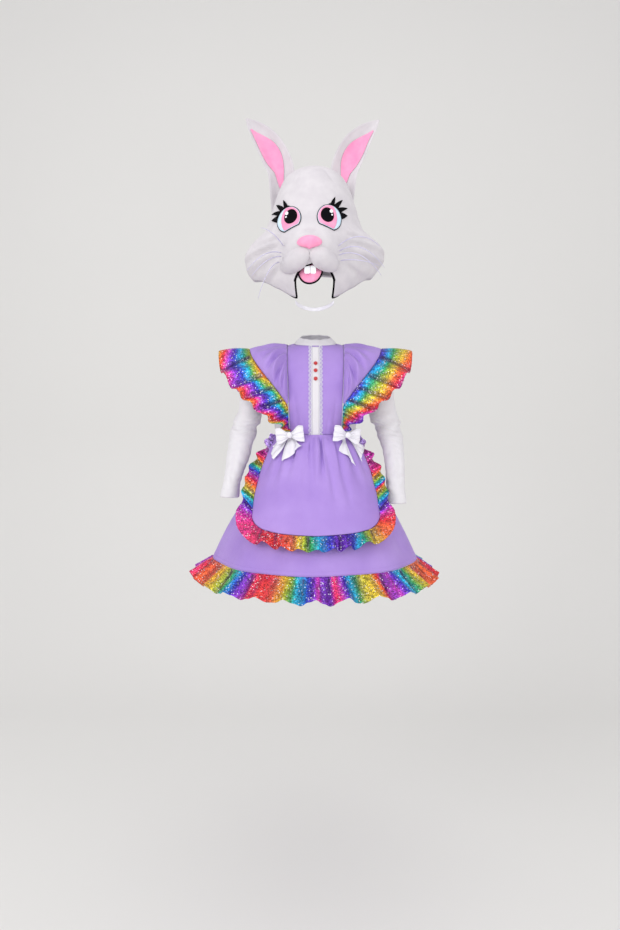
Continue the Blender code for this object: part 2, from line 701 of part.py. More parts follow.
HEAD = Vector((-0.003, -0.020, 0.290))
HEAD_PROFILE = Table(("down", "front", "side", "back"),
                     (0, 0.197, 0.197, 0.197),
                     (24, 0.186, 0.184, 0.188),
                     (42, 0.167, 0.156, 0.172),
                     (56, 0.156, 0.141, 0.160),
                     (70, 0.150, 0.134, 0.152),
                     (84, 0.149, 0.134, 0.149),
                     (98, 0.155, 0.146, 0.147),
                     (112, 0.166, 0.158, 0.145),
                     (126, 0.186, 0.186, 0.141),
                     (136, 0.210, 0.190, 0.139),
                     (150, 0.240, 0.192, 0.136))
HEAD_BUMPS = (
    # around, down, height, spread around, spread down: cheeks and snout
    (76, 107, 0.056, 27, 15),
    (-80, 110, 0.054, 27, 17),
    (-4, 109, 0.040, 25, 18),
)
HEAD_EDGE = Table(("around", "down"),
                  (0, 122), (12, 126), (21, 134), (24, 146), (34, 145), (45, 142), (56, 139),
                  (68, 132), (77, 127), (90, 125), (130, 124), (180, 122))
HEAD_COLUMNS = (0, 11, 21, 24, 34, 45, 56, 68, 77, 90, 105, 122, 141, 160, 180)
HEAD_ROWS = 11
SHELL_COLUMNS = 2 * (len(HEAD_COLUMNS) - 1)


def head_radius(around, down):
    """Distance from the middle of the head, with both angles in degrees."""
    turn = radians(around)
    ahead = HEAD_PROFILE.at(down, "front" if cos(turn) > 0 else "back")
    aside = HEAD_PROFILE.at(down, "side")
    radius = 1 / sqrt((cos(turn) / ahead) ** 2 + (sin(turn) / aside) ** 2)
    for bump_around, bump_down, height, wide, tall in HEAD_BUMPS:
        apart = (around - bump_around + 180) % 360 - 180
        radius += height * exp(-(apart / wide) ** 2 - ((down - bump_down) / tall) ** 2)
    return radius


def head_point(around, down):
    turn, fall = radians(around), radians(down)
    radius = head_radius(around, down)
    return HEAD + Vector((sin(fall) * sin(turn), -sin(fall) * cos(turn), cos(fall))) * radius


def head_column(u):
    """Angle around for u from 0 to 1, from the back over the left side to the front and on."""
    if u < 0.5:
        return -in_list(HEAD_COLUMNS, 1 - 2 * u)
    return in_list(HEAD_COLUMNS, 2 * u - 1)


def shell_surface(u, v):
    around = head_column(u % 1.0)
    return head_point(around, HEAD_EDGE.at(abs(around), "down") * v)


def shell_point(column, row, deep):
    """A corner of the shell, at a depth below its outer face."""
    u, v = column / SHELL_COLUMNS, row / HEAD_ROWS
    return shell_surface(u, v) - surface_normal(shell_surface, u, v, 0.002) * deep


def mask_shell():
    walls = []
    for deep in (0.0, FOAM_WALL):
        rows = [[head_point(0, 0) - UP * deep]]
        for row in range(1, HEAD_ROWS + 1):
            rows.append([shell_point(column, row, deep) for column in range(SHELL_COLUMNS)])
        walls.append(rows)
    return wall_piece("mask_shell", *walls, "white_plush", closed=True)


FACE = BVHTree.FromObject(mask_shell(), bpy.context.evaluated_depsgraph_get())
PAD_EDGE = 0.0008          # thickness of a domed pad at its edge


def on_head(start, direction, near, far):
    """Where the line from start along direction meets the head, between the distances near and far."""
    def outside(distance):
        offset = start + direction * distance - HEAD
        around = atan2(offset.x, -offset.y) * 180 / pi
        down = atan2(sqrt(offset.x**2 + offset.y**2), offset.z) * 180 / pi
        return offset.length > head_radius(around, down)
    for _ in range(26):
        middle = (near + far) / 2
        if outside(middle):
            near = middle
        else:
            far = middle
    return start + direction * far


def face_point(x, z, lift=0.0):
    """A point of the shell's face at x and z, moved out along the head's own direction."""
    ahead = Vector((0.0, 1.0, 0.0))
    start, step = -0.40, 0.0015

    def hit(dx, dz):
        return on_head(Vector((x + dx, start, z + dz)), ahead, 0.05, -start + HEAD.y)
    normal = (hit(step, 0) - hit(-step, 0)).cross(hit(0, step) - hit(0, -step)).normalized()
    met = FACE.ray_cast(Vector((x, start, z)), ahead)[0]
    return (met or hit(0, 0)) + normal * lift


def face_pad(name, centre, outline, height, finish, lift, around, rings, dome=0.5):
    """A pad on the face. outline(turn) is its reach; height is its thickness over a domed top."""
    outer, inner = [], []
    for ring in range(rings + 1):
        out = sin(pi / 2 * ring / rings) if dome > 0 else ring / rings
        row_outer, row_inner = [], []
        for column in range(1 if ring == 0 else around):
            turn = 2 * pi * column / around
            reach = outline(turn) * out
            x, z = centre[0] + reach * cos(turn), centre[1] + reach * sin(turn)
            thick = max(PAD_EDGE, height * (1 - out**2.2) ** dome) if dome > 0 else height
            row_outer.append(face_point(x, z, lift + thick))
            row_inner.append(face_point(x, z, lift))
        outer.append(row_outer)
        inner.append(row_inner)
    wall_piece(name, outer, inner, finish, closed=True)


def ellipse_reach(turn, half_width, half_height, shift=(0.0, 0.0)):
    """Distance from the origin to an ellipse whose middle is moved by shift, in the direction turn."""
    dx, dz = cos(turn) / half_width, sin(turn) / half_height
    cx, cz = shift[0] / half_width, shift[1] / half_height
    a = dx * dx + dz * dz
    b = dx * cx + dz * cz
    return (b + sqrt(b * b - a * (cx * cx + cz * cz - 1))) / a


# Eyes: the sizes are for the left one, and the right one is its mirror image about the nose

NOSE_MIDDLE = (-0.0165, 0.2270)
EYE_MIDDLE = {LEFT: (-0.0700, 0.3010), RIGHT: (0.0345, 0.3010)}
EYE_HALF = (0.0325, 0.0385)
EYE_CUT = (0.352, -0.936, 0.0300)   # direction and distance of the straight lower edge
IRIS_HALF = (0.0260, 0.0420)
PUPIL_HALF = (0.0168, 0.0215)
PUPIL_SHIFT = (0.0060, 0.0060)
FACE_LIFT = 0.0017         # clearance of the felt pieces over the face
LASH_LIFT = 0.0026
LASH = Table(("turn", "reach"),
             (88, 0.0412), (96, 0.0470), (104, 0.0640), (111, 0.0480), (120, 0.0680), (129, 0.0480),
             (140, 0.0620), (149, 0.0430), (159, 0.0500), (174, 0.0345))


def eye_reach(turn, side, scale=1.0):
    across = turn if side == LEFT else pi - turn
    reach = ellipse_reach(across, *EYE_HALF)
    towards = EYE_CUT[0] * cos(across) + EYE_CUT[1] * sin(across)
    if towards > 0:
        reach = min(reach, EYE_CUT[2] / towards)
    return reach * scale


def iris_reach(turn, side):
    across = turn if side == LEFT else pi - turn
    return min(eye_reach(turn, side, 0.90), ellipse_reach(across, *IRIS_HALF, (0.0070, 0.0)))


def eye(suffix, side):
    middle = EYE_MIDDLE[side]
    layer = FELT + SEAM_GAP * 2
    base = FACE_LIFT
    face_pad(f"mask_eye_rim_{suffix}", middle, lambda turn: eye_reach(turn, side), FELT, "black_felt",
             base, 18, 2, 0)
    face_pad(f"mask_eye_white_{suffix}", middle, lambda turn: eye_reach(turn, side, 0.94), FELT, "eye_white",
             base + layer, 18, 2, 0)
    face_pad(f"mask_iris_{suffix}", middle, lambda turn: iris_reach(turn, side), FELT, "pink_felt",
             base + 2 * layer, 18, 2, 0)
    pupil = (middle[0] - side * PUPIL_SHIFT[0], middle[1] + PUPIL_SHIFT[1])
    face_pad(f"mask_pupil_{suffix}", pupil, lambda turn: ellipse_reach(turn, *PUPIL_HALF), FELT, "black_felt",
             base + 3 * layer + 0.0002, 14, 2, 0)
    lashes(f"mask_lashes_{suffix}", middle, side, LASH_LIFT)


def lashes(name, middle, side, lift):
    outer, inner = [], []
    for degrees in LASH.keys:
        turn = radians(degrees) if side == LEFT else pi - radians(degrees)
        near = eye_reach(turn, side) + 0.0006
        far = LASH.at(degrees, "reach")
        reaches = (near, (near + far) / 2, far)
        places = [(middle[0] + reach * cos(turn), middle[1] + reach * sin(turn)) for reach in reaches]
        outer.append([face_point(x, z, lift + FELT) for x, z in places])
        inner.append([face_point(x, z, lift) for x, z in places])
    wall_piece(name, outer, inner, "black_felt")


# Muzzle, nose, mouth, whiskers and chin strap

LOBE_MIDDLE = {LEFT: (-0.0538, 0.1880), RIGHT: (0.0212, 0.1900)}
LOBE_HALF = (0.0370, 0.0265)
LOBE_HEIGHT = 0.018
LOBE_LIFT = 0.0022
NOSE_HALF = (0.0330, 0.0170)
NOSE_HEIGHT = 0.010
NOSE_LIFT = 0.0024


def nose_reach(turn):
    """A rounded triangle, wide at the top."""
    wide = 1.0 if sin(turn) > 0 else 1 - 0.18 * abs(sin(2 * turn))
    return ellipse_reach(turn, *NOSE_HALF) * wide


def muzzle():
    for suffix, side in (("left", LEFT), ("right", RIGHT)):
        face_pad(f"mask_muzzle_{suffix}", LOBE_MIDDLE[side], lambda turn: ellipse_reach(turn, *LOBE_HALF),
                 LOBE_HEIGHT, "white_plush", LOBE_LIFT, 14, 3)
    face_pad("mask_nose", NOSE_MIDDLE, nose_reach, NOSE_HEIGHT, "pink_felt", NOSE_LIFT, 16, 3)


TONGUE_MIDDLE = (-0.0150, 0.1590)
TONGUE_HALF = (0.0310, 0.0240)
TONGUE_RIM = 0.0035
TONGUE_TOP = 0.1860
TONGUE_BACK = 0.0084       # behind the edge of the mouth
TONGUE_DEPTH = 0.0040
TEETH = (0.030, 0.003, 0.020)
TEETH_TOP = 0.1735


def tongue_plate(name, half_width, top, bottom, depth, thickness, finish, rows=5):
    """A piece that hangs in the mouth behind the line of the lips, with a straight top and a round bottom."""
    outer, inner = [], []
    for row in range(rows + 1):
        fall = sin(pi / 2 * row / rows)
        z = lerp(top, bottom, fall)
        half = half_width * max(0.16, sqrt(max(0.0, 1 - fall**2.6)))
        line = [TONGUE_MIDDLE[0] + half * place for place in (-1, -0.7, -0.35, 0, 0.35, 0.7, 1)]
        outer.append([Vector((x, lip_depth(x) + depth, z)) for x in line])
        inner.append([Vector((x, lip_depth(x) + depth + thickness, z)) for x in line])
    wall_piece(name, outer, inner, finish)


def lip_depth(x):
    """Depth of the inner edge of the mouth at x, straight between the shell's corners."""
    middle = SHELL_COLUMNS // 2
    edge = [shell_point(column, HEAD_ROWS, FOAM_WALL) for column in range(middle - 2, middle + 3)]
    return interp(x, [point.x for point in edge], [point.y for point in edge])


def mouth():
    bottom = TONGUE_MIDDLE[1] - TONGUE_HALF[1]
    tongue_plate("mask_tongue", TONGUE_HALF[0], TONGUE_TOP, bottom, TONGUE_BACK, TONGUE_DEPTH, "pink_felt")
    tongue_plate("mask_tongue_rim", TONGUE_HALF[0] + TONGUE_RIM, TONGUE_TOP, bottom - TONGUE_RIM,
                 TONGUE_BACK + TONGUE_DEPTH + SEAM_GAP * 6, 0.002, "black_felt")
    bm = bmesh.new()
    bmesh.ops.create_cube(bm, size=1.0)
    bmesh.ops.scale(bm, vec=Vector(TEETH), verts=bm.verts)
    front = min(lip_depth(TONGUE_MIDDLE[0] - TEETH[0] / 2), lip_depth(TONGUE_MIDDLE[0] + TEETH[0] / 2))
    depth = front + TONGUE_BACK - SEAM_GAP * 8 - TEETH[1] / 2
    seat = Vector((TONGUE_MIDDLE[0], depth, TEETH_TOP - TEETH[2] / 2))
    bmesh.ops.translate(bm, vec=seat, verts=bm.verts)
    bmesh.ops.bevel(bm, geom=bm.edges[:], offset=0.0009, segments=1, affect="EDGES")
    make_object("mask_teeth", bm, "white_satin")


WHISKER_RADIUS = 0.0008
WHISKERS = {
    # root on the face (x, z), then the middle and the tip of the whisker
    "left_1": ((-0.083, 0.229), (-0.112, -0.205, 0.252), (-0.142, -0.198, 0.267)),
    "left_2": ((-0.088, 0.214), (-0.132, -0.212, 0.196), (-0.178, -0.200, 0.157)),
    "left_3": ((-0.089, 0.206), (-0.125, -0.220, 0.178), (-0.165, -0.214, 0.140)),
    "left_4": ((-0.095, 0.193), (-0.120, -0.226, 0.150), (-0.148, -0.216, 0.082)),
    "right_1": ((0.056, 0.226), (0.110, -0.215, 0.240), (0.165, -0.188, 0.222)),
    "right_2": ((0.058, 0.214), (0.115, -0.222, 0.210), (0.176, -0.200, 0.165)),
    "right_3": ((0.058, 0.205), (0.112, -0.226, 0.190), (0.168, -0.208, 0.142)),
    "right_4": ((0.062, 0.193), (0.108, -0.234, 0.176), (0.160, -0.226, 0.164)),
}


def whisker(name, root, middle, tip):
    start = face_point(*root)
    normal = (face_point(*root, 0.01) - start).normalized()
    leaving = (Vector(middle) - start).normalized()
    start += normal * (SEAM_GAP * 1.5 + WHISKER_RADIUS * sqrt(1 - leaving.dot(normal) ** 2))
    curve = bpy.data.curves.new(name, "CURVE")
    curve.dimensions = "3D"
    curve.bevel_depth = WHISKER_RADIUS
    curve.bevel_resolution = 0
    curve.use_fill_caps = True
    spline = curve.splines.new("POLY")
    steps = 6
    spline.points.add(steps)
    bend = Vector(middle) * 2 - (start + Vector(tip)) / 2
    for i in range(steps + 1):
        t = i / steps
        point = start * (1 - t) ** 2 + bend * (2 * t * (1 - t)) + Vector(tip) * t**2
        spline.points[i].co = (*point, 1.0)
    curve.materials.append(make_material("whisker"))
    COSTUME.objects.link(bpy.data.objects.new(f"mask_whisker_{name}", curve))


STRAP_WIDTH = 0.013
STRAP_SAG = 0.016
STRAP_BACK = 0.030         # how far its middle lies behind its ends


def chin_strap():
    """A band from one lower corner of the mouth opening under the chin to the other."""
    left, right = [head_point(side * 24, HEAD_EDGE.at(24, "down")) for side in (LEFT, RIGHT)]

    def surface(u, v):
        sag = sin(pi * u)
        fall = STRAP_SAG * sag ** 0.5 if sag > 0 else 0.0
        middle = lerp(left, right, u) - UP * fall + Vector((0, STRAP_BACK, 0)) * sag
        return middle - UP * (SEAM_GAP * 2 + STRAP_WIDTH * v)
    cloth("mask_chin_strap", surface, 10, 1, TRIM_WALL, "white_satin")


# Ears: leaves cupped towards the front, seated on the crown

EAR_COLUMNS = ("part", "x", "y", "z", "half_width", "cup")
EAR_LEFT = Table(EAR_COLUMNS,
                 (0.00, -0.0860, 0.010, 0.448, 0.0350, 0.020),
                 (0.15, -0.0950, 0.014, 0.486, 0.0390, 0.022),
                 (0.35, -0.1120, 0.020, 0.530, 0.0420, 0.022),
                 (0.55, -0.1330, 0.022, 0.569, 0.0390, 0.018),
                 (0.75, -0.1590, 0.022, 0.602, 0.0300, 0.012),
                 (0.90, -0.1820, 0.020, 0.625, 0.0165, 0.006),
                 (1.00, -0.1980, 0.018, 0.641, 0.0030, 0.001))
EAR_RIGHT = Table(EAR_COLUMNS,
                  (0.00, 0.0670, 0.010, 0.440, 0.0350, 0.020),
                  (0.15, 0.0780, 0.014, 0.482, 0.0390, 0.022),
                  (0.35, 0.0930, 0.020, 0.525, 0.0420, 0.022),
                  (0.55, 0.1130, 0.022, 0.564, 0.0400, 0.018),
                  (0.75, 0.1390, 0.022, 0.598, 0.0300, 0.012),
                  (0.90, 0.1640, 0.020, 0.621, 0.0165, 0.006),
                  (1.00, 0.1820, 0.018, 0.637, 0.0030, 0.001))
EAR_SEAT = 0.0009
EAR_STEPS = 8


def ear_point(table, place, part):
    """place runs from -1 to 1 across the ear, part from its foot to its tip."""
    along = (table.vector(part + 0.03) - table.vector(part - 0.03)).normalized()
    across = along.cross(Vector((0, 1, 0))).normalized()
    bend = table.at(part, "cup") * (1 - place**2)
    return table.vector(part) + across * (table.at(part, "half_width") * place) + Vector((0, bend, 0))


def seated(point, part):
    """Lower the foot of an ear onto the crown."""
    crown = on_head(Vector((point.x, point.y, 0.60)), -UP, 0.0, 0.31).z + EAR_SEAT
    return Vector((point.x, point.y, lerp(crown, point.z, step_between(0.0, 0.22, part))))


def ear_grid(table, side, deep):
    """Points of the ear at a depth from its back, on rows whose inner columns follow the lining's outline."""
    grid = []
    for row in range(EAR_STEPS + 1):
        part = row / EAR_STEPS
        near, far = -0.84, lerp(0.80, 0.30, part)
        places = [-1.0] + [lerp(near, far, i / 6) for i in range(7)] + [1.0]
        line = []
        for place in places:
            place *= side
            point = ear_point(table, place, part)
            across = ear_point(table, place + 0.01, part) - ear_point(table, place - 0.01, part)
            above, below = min(part + 0.01, 1.0), max(part - 0.01, 0.0)
            along = ear_point(table, place, above) - ear_point(table, place, below)
            normal = across.cross(along).normalized()
            if normal.y < 0:
                normal.negate()
            line.append(seated(point - normal * deep(part), part))
        grid.append(line)
    return grid


def ear(suffix, side, table):
    def front(part):
        return EAR_WALL * lerp(1.0, 0.45, part)
    wall_piece(f"mask_ear_{suffix}", ear_grid(table, side, lambda part: 0.0),
               ear_grid(table, side, front), "white_plush")
    under = ear_grid(table, side, lambda part: front(part) + SEAM_GAP * 2)
    top = ear_grid(table, side, lambda part: front(part) + SEAM_GAP * 2 + TRIM_WALL)
    cut = slice(1, EAR_STEPS)
    wall_piece(f"mask_ear_lining_{suffix}", [line[1:-1] for line in top[cut]],
               [line[1:-1] for line in under[cut]], "pink_felt")


def build_dress():
    collar()
    bodice_panel("bodice_front", 0.0, "lilac_cotton")
    bodice_panel("bodice_back", pi, "lilac_cotton")
    front_strip("placket", lambda height: (-PLACKET_HALF, 0.0, PLACKET_HALF), 14, DRESS_WALL, "white_jersey")
    for number, height in enumerate(BUTTON_HEIGHTS, 1):
        button(number, height)
    for suffix, side, table in (("left", LEFT, SLEEVE_LEFT), ("right", RIGHT, SLEEVE_RIGHT)):
        bodice_side(f"bodice_side_{suffix}", side)
        sleeve(f"sleeve_{suffix}", side, table)
        lace(f"lace_{suffix}", side)
        wing(f"wing_{suffix}", side)
        wing_ruffle(f"wing_ruffle_{suffix}", side)
        bow(f"bow_{suffix}", side)
    underskirt()
    hem_ruffle()
    apron()
    apron_ruffle()


def build_mask():
    muzzle()
    mouth()
    chin_strap()
    for suffix, side, table in (("left", LEFT, EAR_LEFT), ("right", RIGHT, EAR_RIGHT)):
        eye(suffix, side)
        ear(suffix, side, table)
    for name, (root, middle, tip) in WHISKERS.items():
        whisker(name, root, middle, tip)


build_dress()
build_mask()
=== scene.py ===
# %% [markdown]
# # A rabbit costume: from solid shapes to finished cloth
# The costume is a padded rabbit mask and a lilac dress with rainbow ruffles, worn by nobody, so every piece
# is a hollow garment. A plain solid of each piece already exists, and it is loaded here as a fixed frame.
# The lesson then makes a finer piece of cloth in the place of each solid and gives it a fabric.

# %% Load the frame
import json
from math import pi, radians

import bmesh
import bpy
import numpy as np
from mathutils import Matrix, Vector

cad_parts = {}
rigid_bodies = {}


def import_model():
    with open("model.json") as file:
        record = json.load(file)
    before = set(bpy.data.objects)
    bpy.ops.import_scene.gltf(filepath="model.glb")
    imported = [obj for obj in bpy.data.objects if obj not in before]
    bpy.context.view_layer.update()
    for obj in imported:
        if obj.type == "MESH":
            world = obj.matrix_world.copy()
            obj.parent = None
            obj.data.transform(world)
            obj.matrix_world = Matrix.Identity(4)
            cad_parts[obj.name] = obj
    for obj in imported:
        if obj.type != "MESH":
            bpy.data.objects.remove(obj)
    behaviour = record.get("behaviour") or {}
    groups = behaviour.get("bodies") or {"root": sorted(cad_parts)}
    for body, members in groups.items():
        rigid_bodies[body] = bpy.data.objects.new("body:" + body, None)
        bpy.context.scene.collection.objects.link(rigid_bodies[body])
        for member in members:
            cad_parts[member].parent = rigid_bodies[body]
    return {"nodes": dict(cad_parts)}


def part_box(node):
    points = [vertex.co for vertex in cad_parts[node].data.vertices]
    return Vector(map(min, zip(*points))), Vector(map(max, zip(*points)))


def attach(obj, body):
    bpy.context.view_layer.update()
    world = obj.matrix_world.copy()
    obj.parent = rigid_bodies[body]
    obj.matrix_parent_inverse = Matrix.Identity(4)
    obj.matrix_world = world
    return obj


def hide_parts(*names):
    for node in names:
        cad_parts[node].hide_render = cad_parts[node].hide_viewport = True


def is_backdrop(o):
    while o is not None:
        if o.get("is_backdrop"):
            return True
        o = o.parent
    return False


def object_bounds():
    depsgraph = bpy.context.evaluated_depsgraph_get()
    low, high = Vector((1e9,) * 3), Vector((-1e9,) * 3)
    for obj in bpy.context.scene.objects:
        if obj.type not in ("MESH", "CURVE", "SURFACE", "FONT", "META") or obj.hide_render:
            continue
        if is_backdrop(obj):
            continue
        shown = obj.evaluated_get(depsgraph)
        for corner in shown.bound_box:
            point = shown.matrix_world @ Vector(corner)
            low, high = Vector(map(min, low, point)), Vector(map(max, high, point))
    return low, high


for old in list(bpy.data.objects):
    bpy.data.objects.remove(old, do_unlink=True)
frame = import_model()
cad_box = [list(corner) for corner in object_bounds()]
print("frame:", len(frame["nodes"]), "nodes, box", np.round(cad_box, 3).tolist())

# %% [markdown]
# ## Camera
# The picture was taken from nearly two metres in front of the skirt, a little below the neckline, with the
# camera tipped three degrees down. A short lens gives the same strong perspective.

# %% Place the camera
camera_data = bpy.data.cameras.new("camera")
camera_data.sensor_width = 36.0
camera_data.lens = 24.77
camera = bpy.data.objects.new("camera", camera_data)
camera.location = (-0.0154, -1.86, -0.252)
camera.rotation_euler = (radians(87), 0, 0)
bpy.context.scene.collection.objects.link(camera)
bpy.context.scene.camera = camera
print("camera", tuple(camera.location))

# %% [markdown]
# ## Smooth sizes
# A garment is described by a few measured rings and lines, and everything between them follows smoothly.
# A table holds the rows, and reads any number of places at once, because numpy arrays keep dense cloth fast.

# %% Tables of sizes


class Table:
    """Rows of sizes under named columns. The first column is the key, and the others follow it smoothly."""

    def __init__(self, columns, *rows):
        self.columns = columns
        self.rows = np.array(sorted(rows), float)

    def at(self, key, column):
        keys, values = self.rows[:, 0], self.rows[:, self.columns.index(column)]
        spans = np.diff(keys)
        slopes = np.diff(values) / spans
        before, after = slopes[:-1], slopes[1:]
        total = np.where(before + after == 0, 1.0, before + after)
        inner = np.where(before * after > 0, 2 * before * after / total, 0.0)
        tangents = np.concatenate([slopes[:1], inner, slopes[-1:]])
        key = np.clip(key, keys[0], keys[-1])
        i = np.clip(np.searchsorted(keys, key) - 1, 0, len(keys) - 2)
        t = (key - keys[i]) / spans[i]
        return ((2 * t**3 - 3 * t**2 + 1) * values[i] + (t**3 - 2 * t**2 + t) * spans[i] * tangents[i]
                + (3 * t**2 - 2 * t**3) * values[i + 1] + (t**3 - t**2) * spans[i] * tangents[i + 1])

    def vector(self, key):
        return np.stack([self.at(key, axis) for axis in ("x", "y", "z")], -1)


def lerp(a, b, t):
    return a + (b - a) * t


def step_between(low, high, value):
    """0 below low, 1 above high, smooth between."""
    t = np.clip((value - low) / (high - low), 0, 1)
    return t * t * (3 - 2 * t)


def in_list(values, t):
    """Read a list of row places at t from 0 to 1."""
    return np.interp(np.clip(t, 0, 1) * (len(values) - 1), np.arange(len(values)), values)


def vec(x, y, z):
    return np.stack(np.broadcast_arrays(x, y, z), -1).astype(float)


def unit(v):
    return v / np.maximum(np.linalg.norm(v, axis=-1, keepdims=True), 1e-12)


def col(value):
    """Lets a grid of numbers multiply a grid of points."""
    return np.asarray(value)[..., None]


LEFT, RIGHT = -1, 1
UP = np.array((0.0, 0.0, 1.0))
print("tables ready")

# %% [markdown]
# ## Cloth as a thin wall
# Real cloth has a face, a back and a cut edge. A grid of points gives the face, the back lies a wall's
# thickness deeper, and a rim closes the edges. The grid also gives the cloth its own UV map in metres, so a
# weave keeps its scale on every piece. The folds that make cloth look alive are short soft ridges and
# troughs, placed one by one.

# %% Make a wall of cloth
PIECES = []


def grid(across, down, closed=False):
    """u across and v down the cloth, from 0 to 1. A closed cloth leaves out the last column."""
    u = np.arange(across if closed else across + 1) / across
    return np.meshgrid(u, np.linspace(0, 1, down + 1))


def grid_normals(points, closed):
    across = np.roll(points, -1, 1) - np.roll(points, 1, 1) if closed else np.gradient(points, axis=1)
    return unit(np.cross(np.gradient(points, axis=0), across))


def wall_mesh(name, outer, inner, closed=False, turned=False, size=(1.0, 1.0)):
    """Close the space between two grids of points, with a UV map of the given size in metres."""
    rows, columns = outer.shape[:2]
    span = columns if closed else columns - 1
    r, c = [a.ravel() for a in np.meshgrid(np.arange(rows - 1), np.arange(span), indexing="ij")]
    n = (c + 1) % columns
    deep = rows * columns

    def at(row, column):
        return row * columns + column

    def uvs(*corners):
        return np.stack([np.stack([np.asarray(a, float) / span * size[0],
                                   np.asarray(b, float) / (rows - 1) * size[1]], -1) for a, b in corners], 1)

    face = np.stack([at(r, c), at(r + 1, c), at(r + 1, n), at(r, n)], 1)
    face_uv = uvs((c, r), (c, r + 1), (c + 1, r + 1), (c + 1, r))
    quads, maps = [face, face[:, ::-1] + deep], [face_uv, face_uv[:, ::-1]]
    c, last = np.arange(span), rows - 1
    n = (c + 1) % columns
    zero = np.zeros(span)
    quads.append(np.stack([at(0, c), at(0, n), at(0, n) + deep, at(0, c) + deep], 1))
    maps.append(uvs((c, zero), (c + 1, zero), (c + 1, zero), (c, zero)))
    quads.append(np.stack([at(last, n), at(last, c), at(last, c) + deep, at(last, n) + deep], 1))
    maps.append(uvs((c + 1, zero + last), (c, zero + last), (c, zero + last), (c + 1, zero + last)))
    if not closed:
        r, far = np.arange(rows - 1), columns - 1
        zero = np.zeros(rows - 1)
        quads.append(np.stack([at(r + 1, 0), at(r, 0), at(r, 0) + deep, at(r + 1, 0) + deep], 1))
        maps.append(uvs((zero, r + 1), (zero, r), (zero, r), (zero, r + 1)))
        quads.append(np.stack([at(r, far), at(r + 1, far), at(r + 1, far) + deep, at(r, far) + deep], 1))
        maps.append(uvs((zero + far, r), (zero + far, r + 1), (zero + far, r + 1), (zero + far, r)))
    quads, maps = np.concatenate(quads), np.concatenate(maps)
    if turned:
        quads, maps = quads[:, ::-1], maps[:, ::-1]
    mesh = bpy.data.meshes.new(name)
    points = np.concatenate([outer.reshape(-1, 3), inner.reshape(-1, 3)])
    mesh.from_pydata(points.tolist(), [], quads.tolist())
    mesh.uv_layers.new(name="UVMap").data.foreach_set("uv", maps.reshape(-1))
    mesh.shade_smooth()
    return mesh


def add_piece(name, mesh, material, slot, *nodes):
    """Put a finished mesh in the scene, in the place of its CAD nodes."""
    mesh.name = name + "_mesh"
    piece = bpy.data.objects.new(name if name not in frame["nodes"] else name + "_fine", mesh)
    bpy.context.scene.collection.objects.link(piece)
    if material is not None:
        mesh.materials.clear()
        mesh.materials.append(material)
    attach(piece, "root")
    if nodes:
        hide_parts(*nodes)
    PIECES.append(piece)
    return piece


def cloth(name, points, wall, material, slot, node=None, closed=False, side=1, size=(1.0, 1.0), marks=None):
    """A wall of cloth under a grid of points. marks are numbers that the fabric reads, one for each point."""
    normals = grid_normals(points, closed) * side
    mesh = wall_mesh(name, points, points - normals * wall, closed, side < 0, size)
    for mark, values in (marks or {}).items():
        layer = mesh.attributes.new(mark, "FLOAT", "POINT")
        values = np.broadcast_to(values, points.shape[:2]).reshape(-1)
        layer.data.foreach_set("value", np.concatenate([values, values]).astype(np.float32))
    return add_piece(name, mesh, material, slot, *([node] if node else []))


def creases(across, down, lines):
    """Height of soft ridges and troughs on the cloth. A line runs from one place to another, in metres,
    with its half width and height."""
    total = np.zeros(np.broadcast(across, down).shape)
    for a0, d0, a1, d1, wide, height in lines:
        ahead = (across - a0) * (a1 - a0) + (down - d0) * (d1 - d0)
        t = np.clip(ahead / ((a1 - a0)**2 + (d1 - d0)**2), 0, 1)
        apart = np.hypot(across - a0 - t * (a1 - a0), down - d0 - t * (d1 - d0))
        total += height * (0.35 + 0.65 * np.sin(pi * t)) * np.exp(-(apart / wide) ** 2)
    return total


def scaled(lines, across, down):
    """Lines whose places are shares of a piece, with the places in metres."""
    return [(a0 * across, d0 * down, a1 * across, d1 * down, wide, height)
            for a0, d0, a1, d1, wide, height in lines]


print("cloth maker ready")

# %% [markdown]
# ## Fabrics
# Each fabric is a shader that reads the cloth's own UV map or Object coordinates, so the pattern stays on the
# cloth. What several fabrics share is a node group: crossed threads, short fuzz and slow changes of shade.

# %% Short calls for shader nodes


def node(tree, kind, inputs=None, **settings):
    """Add a node. An input is either a number or colour, or another node's output."""
    made = tree.nodes.new(kind)
    for name, value in settings.items():
        setattr(made, name, value)
    for name, value in (inputs or {}).items():
        if isinstance(value, bpy.types.NodeSocket):
            tree.links.new(value, made.inputs[name])
        else:
            made.inputs[name].default_value = value
    return made


def calc(tree, operation, a, b=0.0):
    return node(tree, "ShaderNodeMath", {0: a, 1: b}, operation=operation).outputs[0]


def blend_colours(tree, factor, a, b):
    return node(tree, "ShaderNodeMix", {0: factor, 6: a, 7: b}, data_type="RGBA").outputs[2]


def new_group(name, inputs, outputs):
    tree = bpy.data.node_groups.new(name, "ShaderNodeTree")
    for label, kind, value in inputs:
        socket = tree.interface.new_socket(label, in_out="INPUT", socket_type=kind)
        if value is not None:
            socket.default_value = value
    for label, kind in outputs:
        tree.interface.new_socket(label, in_out="OUTPUT", socket_type=kind)
    return tree, tree.nodes.new("NodeGroupInput").outputs, tree.nodes.new("NodeGroupOutput").inputs


